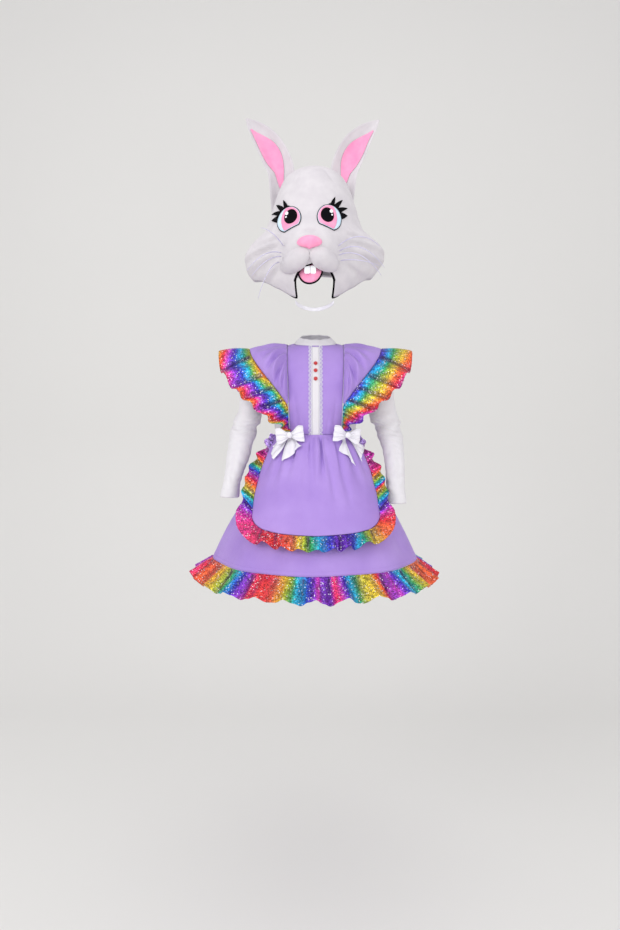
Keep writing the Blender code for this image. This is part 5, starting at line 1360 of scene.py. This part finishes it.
# %% Rules of the head
FOAM_WALL, EAR_WALL, FELT = 0.0070, 0.0050, 0.0012
HEAD = np.array((-0.003, -0.020, 0.290))
HEAD_PROFILE = Table(("down", "front", "side", "back"),
                     (0, 0.197, 0.197, 0.197), (24, 0.186, 0.184, 0.188), (42, 0.167, 0.156, 0.172),
                     (56, 0.156, 0.141, 0.160), (70, 0.150, 0.134, 0.152), (84, 0.149, 0.134, 0.149),
                     (98, 0.155, 0.146, 0.147), (112, 0.166, 0.158, 0.145), (126, 0.186, 0.186, 0.141),
                     (136, 0.210, 0.190, 0.139), (150, 0.240, 0.192, 0.136))
# Cheeks and snout: angle around, angle down, height, spread around, spread down
HEAD_BUMPS = ((76, 107, 0.056, 27, 15), (-80, 110, 0.054, 27, 17), (-4, 109, 0.040, 25, 18))
HEAD_EDGE = Table(("around", "down"), (0, 122), (12, 126), (21, 134), (24, 146), (34, 145), (45, 142),
                  (56, 139), (68, 132), (77, 127), (90, 125), (130, 124), (180, 122))
HEAD_COLUMNS = (0, 11, 21, 24, 34, 45, 56, 68, 77, 90, 105, 122, 141, 160, 180)
# Metres on the shell for a degree
DEGREE = 0.0028
# Creases of the plush: angles around and down at both ends, half width and height in metres
HEAD_CREASES = ((-11, 100, 4, 100, 0.0045, -0.0036), (-36, 101, -70, 104, 0.0050, -0.0042),
                (-38, 109, -82, 112, 0.0055, -0.0050), (-36, 117, -74, 124, 0.0060, -0.0044),
                (-34, 125, -60, 134, 0.0060, -0.0034), (-40, 105, -64, 107, 0.0045, 0.0026),
                (-42, 113, -76, 117, 0.0050, 0.0030), (34, 99, 66, 101, 0.0050, -0.0042),
                (33, 106, 80, 107, 0.0055, -0.0050), (34, 115, 72, 119, 0.0060, -0.0042),
                (32, 124, 60, 131, 0.0060, -0.0034), (38, 102, 62, 103, 0.0045, 0.0026),
                (38, 110, 74, 112, 0.0050, 0.0030), (-34, 90, -46, 97, 0.0060, 0.0018),
                (28, 89, 42, 96, 0.0060, 0.0018), (-100, 104, -124, 112, 0.0080, -0.0022),
                (98, 102, 122, 110, 0.0080, -0.0022), (150, 108, 178, 112, 0.0080, -0.0020),
                (-150, 100, -172, 104, 0.0080, -0.0020), (-20, 28, -34, 46, 0.0080, -0.0010),
                (16, 26, 30, 44, 0.0080, -0.0010))


def head_radius(around, down):
    turn = np.radians(around)
    ahead = np.where(np.cos(turn) > 0, HEAD_PROFILE.at(down, "front"), HEAD_PROFILE.at(down, "back"))
    aside = HEAD_PROFILE.at(down, "side")
    radius = 1 / np.sqrt((np.cos(turn) / ahead) ** 2 + (np.sin(turn) / aside) ** 2)
    for bump_around, bump_down, height, wide, tall in HEAD_BUMPS:
        apart = (around - bump_around + 180) % 360 - 180
        radius = radius + height * np.exp(-(apart / wide) ** 2 - ((down - bump_down) / tall) ** 2)
    return radius + 2.3 * creases(around * DEGREE, down * DEGREE, scaled(HEAD_CREASES, DEGREE, DEGREE))


def head_point(around, down):
    turn, fall = np.radians(around), np.radians(down)
    ray = vec(np.sin(fall) * np.sin(turn), -np.sin(fall) * np.cos(turn), np.cos(fall))
    return HEAD + ray * col(head_radius(around, down))


def head_column(u):
    return np.where(u < 0.5, -in_list(HEAD_COLUMNS, 1 - 2 * u), in_list(HEAD_COLUMNS, 2 * u - 1))


def on_head(start, direction, near, far):
    """Where the line from start along direction meets the head, between the distances near and far."""
    near, far = np.full(start.shape[:-1], near), np.full(start.shape[:-1], far)
    for _ in range(26):
        middle = (near + far) / 2
        offset = start + direction * col(middle) - HEAD
        around = np.degrees(np.arctan2(offset[..., 0], -offset[..., 1]))
        down = np.degrees(np.arctan2(np.hypot(offset[..., 0], offset[..., 1]), offset[..., 2]))
        outside = np.linalg.norm(offset, axis=-1) > head_radius(around, down)
        near, far = np.where(outside, middle, near), np.where(outside, far, middle)
    return start + direction * col(far)


def face_point(x, z, lift=0.0):
    """A point of the face at x and z, moved out along the face's own direction."""
    x, z = np.broadcast_arrays(np.asarray(x, float), np.asarray(z, float))
    ahead, step = np.array((0.0, 1.0, 0.0)), 0.0030

    def hit(dx, dz):
        return on_head(vec(x + dx, -0.40, z + dz), ahead, 0.05, 0.38)
    normal = unit(np.cross(hit(step, 0) - hit(-step, 0), hit(0, step) - hit(0, -step)))
    return hit(0, 0) + normal * col(lift)


def closed_cloth(name, outer, inner, material, slot, node=None, closed=True, size=(0.1, 0.1)):
    """A wall between two grids, with its poles joined and its faces outwards."""
    mesh = wall_mesh(name, outer, inner, closed, False, size)
    closed_mesh(mesh)
    return add_piece(name, mesh, material, slot, *([node] if node else []))


def mask_shell():
    u, v = grid(168, 76, closed=True)
    around = head_column(u)
    outer = head_point(around, HEAD_EDGE.at(np.abs(around), "down") * v)
    below = head_point(around, HEAD_EDGE.at(np.abs(around), "down") * (v + 0.004))
    beside = head_point(around + 0.4, HEAD_EDGE.at(np.abs(around), "down") * v)
    normal = unit(np.cross(below - outer, beside - outer))
    normal[0] = UP
    piece = closed_cloth("mask_shell", outer, outer - normal * FOAM_WALL, white_plush, "white_plush",
                         "mask_shell", size=(1.1, 0.45))
    low = np.array([outer[-1], (outer - normal * FOAM_WALL)[-1]])
    return around[-1], low, unit(outer[-1] - outer[-2])


EDGE_AROUND, EDGE_LINES, EDGE_DOWN = mask_shell()
print("mask shell made")

# %% Binding of the mouth opening


def tube(name, path, radii, material, slot, node=None, sides=10):
    """A closed tube along a path. radii are (across, upright) at each point, and an end of 0 is a point."""
    path, radii = np.asarray(path, float), np.asarray(radii, float)
    along = unit(np.gradient(path, axis=0))
    across = unit(np.cross(along, np.where(np.abs(along[:, 2:]) > 0.9, (0.0, 1.0, 0.0), (0.0, 0.0, 1.0))))
    upright = np.cross(across, along)
    turn = np.arange(sides) / sides * 2 * pi
    rings = (path[:, None] + across[:, None] * (radii[:, None, :1] * np.cos(turn)[None, :, None])
             + upright[:, None] * (radii[:, None, 1:] * np.sin(turn)[None, :, None]))
    mesh = bpy.data.meshes.new(name)
    mesh.from_pydata(rings.reshape(-1, 3).tolist(), [], ring_faces(len(path), sides))
    closed_mesh(mesh)
    return add_piece(name, mesh, material, slot, *([node] if node else []))


def pointed(count, power=0.5):
    t = np.linspace(0, 1, count)
    return np.sin(pi * t) ** power


front = np.abs(EDGE_AROUND) < 37
order = np.argsort(EDGE_AROUND[front])
rim_line = (EDGE_LINES[0][front] * 0.6 + EDGE_LINES[1][front] * 0.4 + EDGE_DOWN[front] * 0.0026)[order]
thick = np.clip(pointed(len(rim_line), 0.5) * 1.6, 0, 1)
tube("mouth_binding", rim_line, np.stack([thick * 0.0036, thick * 0.0022], -1), black_felt, "black_felt")
print("binding made")

# %% [markdown]
# ## Face
# The muzzle lobes and the nose are small stuffed pads. A pad's height falls off softly towards the forehead,
# where the plush runs on, and steeply below, where it is sewn down. The eyes are flat layers of felt and
# smooth cloth, each a little smaller than the one under it.

# %% Pads on the face


def ellipse_reach(turn, half_width, half_height, shift=(0.0, 0.0)):
    dx, dz = np.cos(turn) / half_width, np.sin(turn) / half_height
    cx, cz = shift[0] / half_width, shift[1] / half_height
    a, b = dx * dx + dz * dz, dx * cx + dz * cz
    return (b + np.sqrt(b * b - a * (cx * cx + cz * cz - 1))) / a


PAD_EDGE = 0.0008


def face_pad(name, centre, outline, height, material, slot, lift, node=None, around=96, rings=14, soft=0.0,
             dome=0.5):
    """A stuffed pad on the face, or a flat layer where dome is 0. soft blends its top into the face."""
    u, v = grid(around, rings, closed=True)
    turn = 2 * pi * u
    out = np.sin(pi / 2 * v) if dome > 0 else v
    reach = outline(turn) * out
    x, z = centre[0] + reach * np.cos(turn), centre[1] + reach * np.sin(turn)
    power = dome + soft * step_between(-0.3, 0.8, np.sin(turn))
    thick = height + 0 * out
    if dome > 0:
        thick = PAD_EDGE + (height - PAD_EDGE) * np.clip(1 - out**2.2, 0, 1) ** power
    return closed_cloth(name, face_point(x, z, lift + thick), face_point(x, z, lift), material, slot, node)


NOSE_MIDDLE, NOSE_HALF, NOSE_HEIGHT = (-0.0165, 0.2270), (0.0312, 0.0165), 0.0105
LOBE_MIDDLE = {LEFT: (-0.0545, 0.1890), RIGHT: (0.0220, 0.1900)}
LOBE_HALF, LOBE_HEIGHT, LOBE_LIFT, LOBE_TILT = (0.0395, 0.0265), 0.0170, 0.0006, radians(20)
EYE_MIDDLE = {LEFT: (-0.0700, 0.3010), RIGHT: (0.0345, 0.3010)}
EYE_HALF, EYE_CUT = (0.0325, 0.0385), (0.352, -0.936, 0.0300)
IRIS_HALF, PUPIL_HALF, PUPIL_SHIFT = (0.0260, 0.0420), (0.0168, 0.0215), (0.0060, 0.0060)
# White highlights on a pupil: towards the outer side, up, radius
EYE_GLINTS = ((0.0100, 0.0118, 0.0042), (0.0118, 0.0020, 0.0022))
FACE_LIFT = 0.0009
# Lashes: degrees round the eye and reach from its middle, tip and notch in turn
LASH = np.array(((88, 0.0405), (95, 0.0430), (104, 0.0660), (109, 0.0425), (121, 0.0700), (126, 0.0410),
                 (141, 0.0640), (145, 0.0385), (160, 0.0520), (174, 0.0345)))


def nose_reach(turn):
    wide = np.where(np.sin(turn) > 0, 1.0, 1 - 0.18 * np.abs(np.sin(2 * turn)))
    return ellipse_reach(turn, *NOSE_HALF) * wide


def eye_reach(turn, side, scale=1.0):
    across = turn if side == LEFT else pi - turn
    reach = ellipse_reach(across, *EYE_HALF)
    towards = EYE_CUT[0] * np.cos(across) + EYE_CUT[1] * np.sin(across)
    return np.where(towards > 0.1, np.minimum(reach, EYE_CUT[2] / np.maximum(towards, 0.1)), reach) * scale


def iris_reach(turn, side):
    across = turn if side == LEFT else pi - turn
    return np.minimum(eye_reach(turn, side, 0.90), ellipse_reach(across, *IRIS_HALF, (0.0070, 0.0)))


def eye(suffix, side):
    middle, felt = EYE_MIDDLE[side], FELT * 0.5
    layer = felt + SEAM_GAP
    flat = dict(rings=8, dome=0)
    face_pad(f"mask_eye_rim_{suffix}", middle, lambda turn: eye_reach(turn, side), felt, black_felt,
             "black_felt", FACE_LIFT, f"mask_eye_rim_{suffix}", **flat)
    face_pad(f"mask_eye_white_{suffix}", middle, lambda turn: eye_reach(turn, side, 0.94), felt, eye_cloth,
             "eye_white", FACE_LIFT + layer, f"mask_eye_white_{suffix}", **flat)
    face_pad(f"mask_iris_{suffix}", middle, lambda turn: iris_reach(turn, side), felt, iris_felt,
             "pink_felt", FACE_LIFT + 2 * layer, f"mask_iris_{suffix}", **flat)
    pupil = (middle[0] - side * PUPIL_SHIFT[0], middle[1] + PUPIL_SHIFT[1])
    face_pad(f"mask_pupil_{suffix}", pupil, lambda turn: ellipse_reach(turn, *PUPIL_HALF), felt, black_felt,
             "black_felt", FACE_LIFT + 3 * layer, f"mask_pupil_{suffix}", **flat)
    for number, (dx, dz, radius) in enumerate(EYE_GLINTS, 1):
        face_pad(f"eye_glint_{suffix}_{number}", (pupil[0] + side * dx, pupil[1] + dz),
                 lambda turn: ellipse_reach(turn, radius, radius * 1.2), FELT * 0.4, glint_cloth, "eye_white",
                 FACE_LIFT + 4 * layer, around=32, rings=3, dome=0)
    u, v = grid(166, 6)
    degrees = lerp(LASH[0, 0], LASH[-1, 0], u)
    turn = np.radians(degrees) if side == LEFT else pi - np.radians(degrees)
    near = eye_reach(turn, side) + 0.0006
    reach = lerp(near, np.maximum(np.interp(degrees, LASH[:, 0], LASH[:, 1]), near + 0.0010), v)
    x, z = middle[0] + reach * np.cos(turn), middle[1] + reach * np.sin(turn)
    top, under = face_point(x, z, FACE_LIFT + FELT * 0.8), face_point(x, z, FACE_LIFT)
    closed_cloth(f"mask_lashes_{suffix}", top, under, black_felt, "black_felt", f"mask_lashes_{suffix}",
                 closed=False)


def muzzle_lobe(name, side):
    lobe = face_pad(name, LOBE_MIDDLE[side], lambda turn: ellipse_reach(turn + side * LOBE_TILT, *LOBE_HALF),
                    LOBE_HEIGHT, white_plush, "white_plush", LOBE_LIFT, name, around=120, rings=26,
                    soft=0.95, dome=0.60)


for suffix, side in (("left", LEFT), ("right", RIGHT)):
    muzzle_lobe(f"mask_muzzle_{suffix}", side)
    eye(suffix, side)
nose = face_pad("mask_nose", NOSE_MIDDLE, nose_reach, NOSE_HEIGHT, pink_felt, "pink_felt", FACE_LIFT,
                "mask_nose", rings=18)
print("face made,", len(PIECES), "pieces so far")

# %% [markdown]
# ## Mouth, whiskers and strap
# The tongue hangs in the mouth opening behind the lips, with a black backing a little larger than itself, so
# it shows as a dark line. Whiskers are stiff fibres that thin out to the tip. The strap is a band of satin
# that hangs slack between the lower corners of the opening.

# %% Mouth
TONGUE_MIDDLE, TONGUE_HALF, TONGUE_RIM, TONGUE_TOP = (-0.0150, 0.1590), (0.0310, 0.0240), 0.0035, 0.1860
TONGUE_BACK, TONGUE_DEPTH, TEETH, TEETH_TOP = 0.0084, 0.0040, (0.031, 0.003, 0.021), 0.1765
lips = np.argsort(EDGE_AROUND)
lips = lips[np.abs(EDGE_AROUND[lips]) < 26]


def lip_depth(x):
    return np.interp(x, EDGE_LINES[1][lips, 0], EDGE_LINES[1][lips, 1])


def tongue_plate(name, half_width, top, bottom, depth, thickness, material, slot, puff=0.0):
    u, v = grid(40, 30)
    place = 2 * u - 1
    fall = np.sin(pi / 2 * v)
    z = lerp(top, bottom, fall)
    half = half_width * np.maximum(0.10, np.sqrt(np.clip(1 - fall**2.6, 0, 1)))
    x = TONGUE_MIDDLE[0] + half * place
    low = 1 - step_between(0.160, 0.168, z)
    bulge = puff * low * (1 - np.abs(place) ** 3) * (1 - 0.45 * np.exp(-(place / 0.10) ** 2))
    curl = puff * 0.4 * low * (1 - fall)
    outer, inner = vec(x, lip_depth(x) + depth - bulge - curl, z), vec(x, lip_depth(x) + depth + thickness, z)
    closed_cloth(name, outer, inner, material, slot, name, closed=False, size=(0.06, 0.06))


bottom = TONGUE_MIDDLE[1] - TONGUE_HALF[1]
tongue_plate("mask_tongue", TONGUE_HALF[0], TONGUE_TOP, bottom, TONGUE_BACK, TONGUE_DEPTH, pink_felt,
             "pink_felt", 0.0032)
tongue_plate("mask_tongue_rim", TONGUE_HALF[0] + TONGUE_RIM, TONGUE_TOP, bottom - TONGUE_RIM,
             TONGUE_BACK + TONGUE_DEPTH + SEAM_GAP * 6, 0.002, black_felt, "black_felt")


def teeth():
    """Two rounded teeth side by side, as one felt piece with a notch in the middle."""
    bm = bmesh.new()
    front = float(min(lip_depth(TONGUE_MIDDLE[0] - TEETH[0] / 2), lip_depth(TONGUE_MIDDLE[0] + TEETH[0] / 2)))
    for half in (-1, 1):
        made = bmesh.ops.create_cube(bm, size=1.0)["verts"]
        bmesh.ops.scale(bm, vec=Vector((TEETH[0] / 2 - 0.0008, TEETH[1], TEETH[2])), verts=made)
        seat = Vector((TONGUE_MIDDLE[0] + half * TEETH[0] / 4, front + TONGUE_BACK - 0.0038 - TEETH[1] / 2,
                       TEETH_TOP - TEETH[2] / 2))
        bmesh.ops.translate(bm, vec=seat, verts=made)
    low = [e for e in bm.edges if abs(e.verts[0].co.z - e.verts[1].co.z) < 1e-6
           and abs(e.verts[0].co.x - e.verts[1].co.x) < 1e-6]
    bmesh.ops.bevel(bm, geom=low, offset=0.0035, segments=6, affect="EDGES", profile=0.5)
    edges = [e for e in bm.edges if e.calc_face_angle(0) > 0.9]
    bmesh.ops.bevel(bm, geom=edges, offset=0.0010, segments=3, affect="EDGES", profile=0.5)
    mesh = bpy.data.meshes.new("mask_teeth")
    bm.to_mesh(mesh)
    bm.free()
    mesh.shade_smooth()
    add_piece("mask_teeth", mesh, glint_cloth, "white_satin", "mask_teeth")


teeth()

# %% Whiskers
WHISKERS = {
    "left_1": ((-0.083, 0.229), (-0.112, -0.205, 0.252), (-0.142, -0.198, 0.267)),
    "left_2": ((-0.088, 0.214), (-0.132, -0.212, 0.196), (-0.178, -0.200, 0.157)),
    "left_3": ((-0.089, 0.206), (-0.125, -0.220, 0.178), (-0.165, -0.214, 0.140)),
    "left_4": ((-0.095, 0.193), (-0.120, -0.226, 0.150), (-0.148, -0.216, 0.082)),
    "right_1": ((0.056, 0.226), (0.110, -0.215, 0.240), (0.165, -0.188, 0.222)),
    "right_2": ((0.058, 0.214), (0.115, -0.222, 0.210), (0.176, -0.200, 0.165)),
    "right_3": ((0.058, 0.205), (0.112, -0.226, 0.190), (0.168, -0.208, 0.142)),
    "right_4": ((0.062, 0.193), (0.108, -0.234, 0.176), (0.160, -0.226, 0.164)),
}
for label, (root, middle, tip) in WHISKERS.items():
    start = face_point(*root, 0.0008)
    t = np.linspace(0, 1, 28)[:, None]
    bend = np.array(middle) * 2 - (start + np.array(tip)) / 2
    path = start * (1 - t) ** 2 + bend * (2 * t * (1 - t)) + np.array(tip) * t**2
    radius = np.where((t[:, 0] == 0) | (t[:, 0] == 1), 0.0, lerp(0.00150, 0.00055, t[:, 0] ** 1.5))
    tube(f"mask_whisker_{label}", path, np.stack([radius, radius], -1), whisker_fibre, "whisker",
         f"mask_whisker_{label}", 8)
print("whiskers made,", len(PIECES), "pieces so far")

# %% Chin strap
left, right = [head_point(side * 24.0, HEAD_EDGE.at(24, "down")) for side in (LEFT, RIGHT)]
u, v = grid(90, 10)
sag = np.sin(pi * u)
middle = lerp(left, right, col(u)) - UP * col(0.016 * sag ** 0.5) + np.array((0, 0.030, 0)) * col(sag)
ripple = 0.0006 * np.sin(5 * pi * u + 2 * v) * np.sin(pi * v)
points = middle - UP * col(SEAM_GAP * 2 + 0.0048 + 0.0095 * v) - np.array((0, 1, 0)) * col(ripple)
strap = cloth("mask_chin_strap", points, TRIM_WALL, white_satin, "white_satin", "mask_chin_strap",
              size=(0.15, 0.013))
print("strap made")

# %% [markdown]
# ## Ears
# An ear is a long leaf cupped towards the front. The pink lining keeps away from the edge, so a white border
# is left, wide on the inner side at the top. A thin white piping hides the seam where the ear meets the head.

# %% Ears
EAR_COLUMNS = ("part", "x", "y", "z", "half_width", "cup")
EARS = {
    LEFT: Table(EAR_COLUMNS,
                (0.00, -0.0860, 0.010, 0.448, 0.0350, 0.020),
                (0.15, -0.0950, 0.014, 0.486, 0.0390, 0.022),
                (0.35, -0.1120, 0.020, 0.530, 0.0420, 0.022),
                (0.55, -0.1330, 0.022, 0.569, 0.0390, 0.018),
                (0.75, -0.1590, 0.022, 0.602, 0.0300, 0.012),
                (0.90, -0.1820, 0.020, 0.625, 0.0165, 0.006),
                (1.00, -0.1980, 0.018, 0.641, 0.0030, 0.001)),
    RIGHT: Table(EAR_COLUMNS,
                 (0.00, 0.0670, 0.010, 0.440, 0.0350, 0.020),
                 (0.15, 0.0780, 0.014, 0.482, 0.0390, 0.022),
                 (0.35, 0.0930, 0.020, 0.525, 0.0420, 0.022),
                 (0.55, 0.1130, 0.022, 0.564, 0.0400, 0.018),
                 (0.75, 0.1390, 0.022, 0.598, 0.0300, 0.012),
                 (0.90, 0.1640, 0.020, 0.621, 0.0165, 0.006),
                 (1.00, 0.1820, 0.018, 0.637, 0.0030, 0.001)),
}
EAR_SEAT = 0.0009
ABOVE_HEAD = 0.60


def ear_point(table, place, part):
    along = unit(table.vector(part + 0.03) - table.vector(part - 0.03))
    across = unit(np.cross(along, (0.0, 1.0, 0.0)))
    bend = table.at(part, "cup") * (1 - place**2)
    return (table.vector(part) + across * col(table.at(part, "half_width") * place)
            + np.array((0, 1.0, 0)) * col(bend))


def crown_height(point):
    """Height of the head straight below each point."""
    return on_head(vec(point[..., 0], point[..., 1], ABOVE_HEAD), -UP, 0.0, 0.31)[..., 2]


def seated(point, part):
    """Lower the foot of an ear onto the crown."""
    crown = crown_height(point) + EAR_SEAT
    height = lerp(crown, point[..., 2], step_between(0.0, 0.22, part))
    return np.concatenate([point[..., :2], col(height)], -1)


def ear_layer(table, place, part, deep):
    step = 0.01
    normal = unit(np.cross(ear_point(table, place + step, part) - ear_point(table, place - step, part),
                           ear_point(table, place, np.minimum(part + step, 1))
                           - ear_point(table, place, np.maximum(part - step, 0))))
    normal = np.where(normal[..., 1:2] < 0, -normal, normal)
    return seated(ear_point(table, place, part) - normal * col(deep), part)


def ear(suffix, side):
    table = EARS[side]
    u, part = grid(56, 72)
    place = (2 * u - 1) * side
    wall = EAR_WALL * lerp(1.0, 0.45, part)
    round_edge = wall * 0.5 * step_between(0.90, 1.0, np.abs(place))
    back = ear_layer(table, place, part, round_edge * 0.8)
    ridge = 0.0006 * np.sin(9 * place + 4 * part) * np.sin(pi * part)
    front = ear_layer(table, place, part, wall - round_edge * 0.8 + ridge * (1 - np.abs(place) ** 4))
    piece = closed_cloth(f"mask_ear_{suffix}", back, front, white_plush, "white_plush", f"mask_ear_{suffix}",
                         closed=False, size=(0.09, 0.22))
    u, v = grid(48, 64)
    part = lerp(0.125, 0.875, v)
    near, far = -0.84, lerp(0.80, 0.30, part)
    width = np.sin(pi * (0.03 + 0.94 * v)) ** 0.72
    held = lerp(0.45, 0.10, v)
    middle = lerp(near, far, held)
    place = (middle + (far - near) * np.maximum(width, 0.05) * (u - held)) * side
    lift = EAR_WALL * lerp(1.0, 0.45, part) + 0.0007 + SEAM_GAP * 2
    wave = 0.0005 * np.sin(7 * place + 5 * part) * np.sin(pi * u)
    top = ear_layer(table, place, part, lift + TRIM_WALL + wave)
    under = ear_layer(table, place, part, lift + wave)
    lining = closed_cloth(f"mask_ear_lining_{suffix}", top, under, ear_felt, "pink_felt",
                          f"mask_ear_lining_{suffix}", closed=False, size=(0.07, 0.19))
    foot = np.linspace(-0.96, 0.96, 40)[None]
    line = ear_layer(table, foot, np.full_like(foot, 0.012), np.full_like(foot, EAR_WALL + 0.0024))[0]
    line[:, 2] = crown_height(line) + 0.0016
    thick = np.clip(pointed(40) * 1.5, 0, 1) * 0.0022
    tube(f"ear_piping_{suffix}", line, np.stack([thick, thick], -1), white_satin, "white_plush")


for suffix, side in (("left", LEFT), ("right", RIGHT)):
    ear(suffix, side)
print("ears made,", len(PIECES), "pieces so far")

# %% [markdown]
# ## Room and light
# A pale floor curves up into a pale wall, so no line crosses the picture. The light is soft and comes from
# the front and above on both sides, a little stronger from the left, as in a small shop studio.

# %% Floor, wall and lights
across = np.linspace(-6, 6, 3)
sweep = [(-4.0, -1.62), (1.2, -1.62)]
sweep += [(1.2 + 1.4 * np.sin(a), -0.22 - 1.4 * np.cos(a)) for a in np.linspace(0.1, pi / 2, 14)]
sweep += [(2.6, 5.0)]
points = [(x, y, z) for y, z in sweep for x in across]
quads = [(r * 3 + c, r * 3 + c + 1, r * 3 + c + 4, r * 3 + c + 3)
         for r in range(len(sweep) - 1) for c in range(2)]
backdrop_mesh = bpy.data.meshes.new("backdrop")
backdrop_mesh.from_pydata(points, [], quads)
backdrop_mesh.shade_smooth()
paper, tree, shader = new_fabric("pale_paper", 0.95)
shaded(tree, shader, (0.755, 0.75, 0.73), (0.745, 0.74, 0.72), 1.5)
backdrop_mesh.materials.append(paper)
backdrop = bpy.data.objects.new("backdrop", backdrop_mesh)
bpy.context.scene.collection.objects.link(backdrop)
backdrop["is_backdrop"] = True

LIGHTS = (
    # place, size and power: from the left, from the right, from above, from the front
    ((-2.4, -2.4, 1.2), 2.0, 44.0), ((2.6, -2.2, 0.6), 2.2, 20.0), ((0.0, -0.4, 2.8), 2.4, 14.0),
    ((0.2, -3.2, -0.3), 1.6, 22.0),
)
for number, (place, size, power) in enumerate(LIGHTS, 1):
    data = bpy.data.lights.new(f"soft_light_{number}", "AREA")
    data.size, data.energy = size, power
    light = bpy.data.objects.new(data.name, data)
    light.location = place
    light.rotation_euler = (Vector((0.0, 0.0, -0.05)) - Vector(place)).to_track_quat("-Z", "Y").to_euler()
    bpy.context.scene.collection.objects.link(light)
world = bpy.data.worlds.new("pale_room")
world.use_nodes = True
world.node_tree.nodes["Background"].inputs["Color"].default_value = (0.95, 0.94, 0.96, 1.0)
world.node_tree.nodes["Background"].inputs["Strength"].default_value = 0.80
bpy.context.scene.world = world
bpy.context.scene.view_settings.view_transform = "Standard"
bpy.context.scene.view_settings.look = "None"
print("lights:", len(LIGHTS))

# %% [markdown]
# The finished cloth keeps the size of the solids that it stands in for. Both boxes are printed, and last the
# triangles of the largest pieces and of all.

# %% Compare the boxes and finish
new_box = [list(corner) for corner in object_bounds()]
for label, box in (("cad", cad_box), ("visual", new_box)):
    print(label, [round(high - low, 4) for low, high in zip(*box)])
counts = [(sum(len(face.vertices) - 2 for face in piece.data.polygons), piece.name) for piece in PIECES]
print("largest pieces:", sorted(counts, reverse=True)[:6])
print("triangles:", sum(count for count, name in counts))
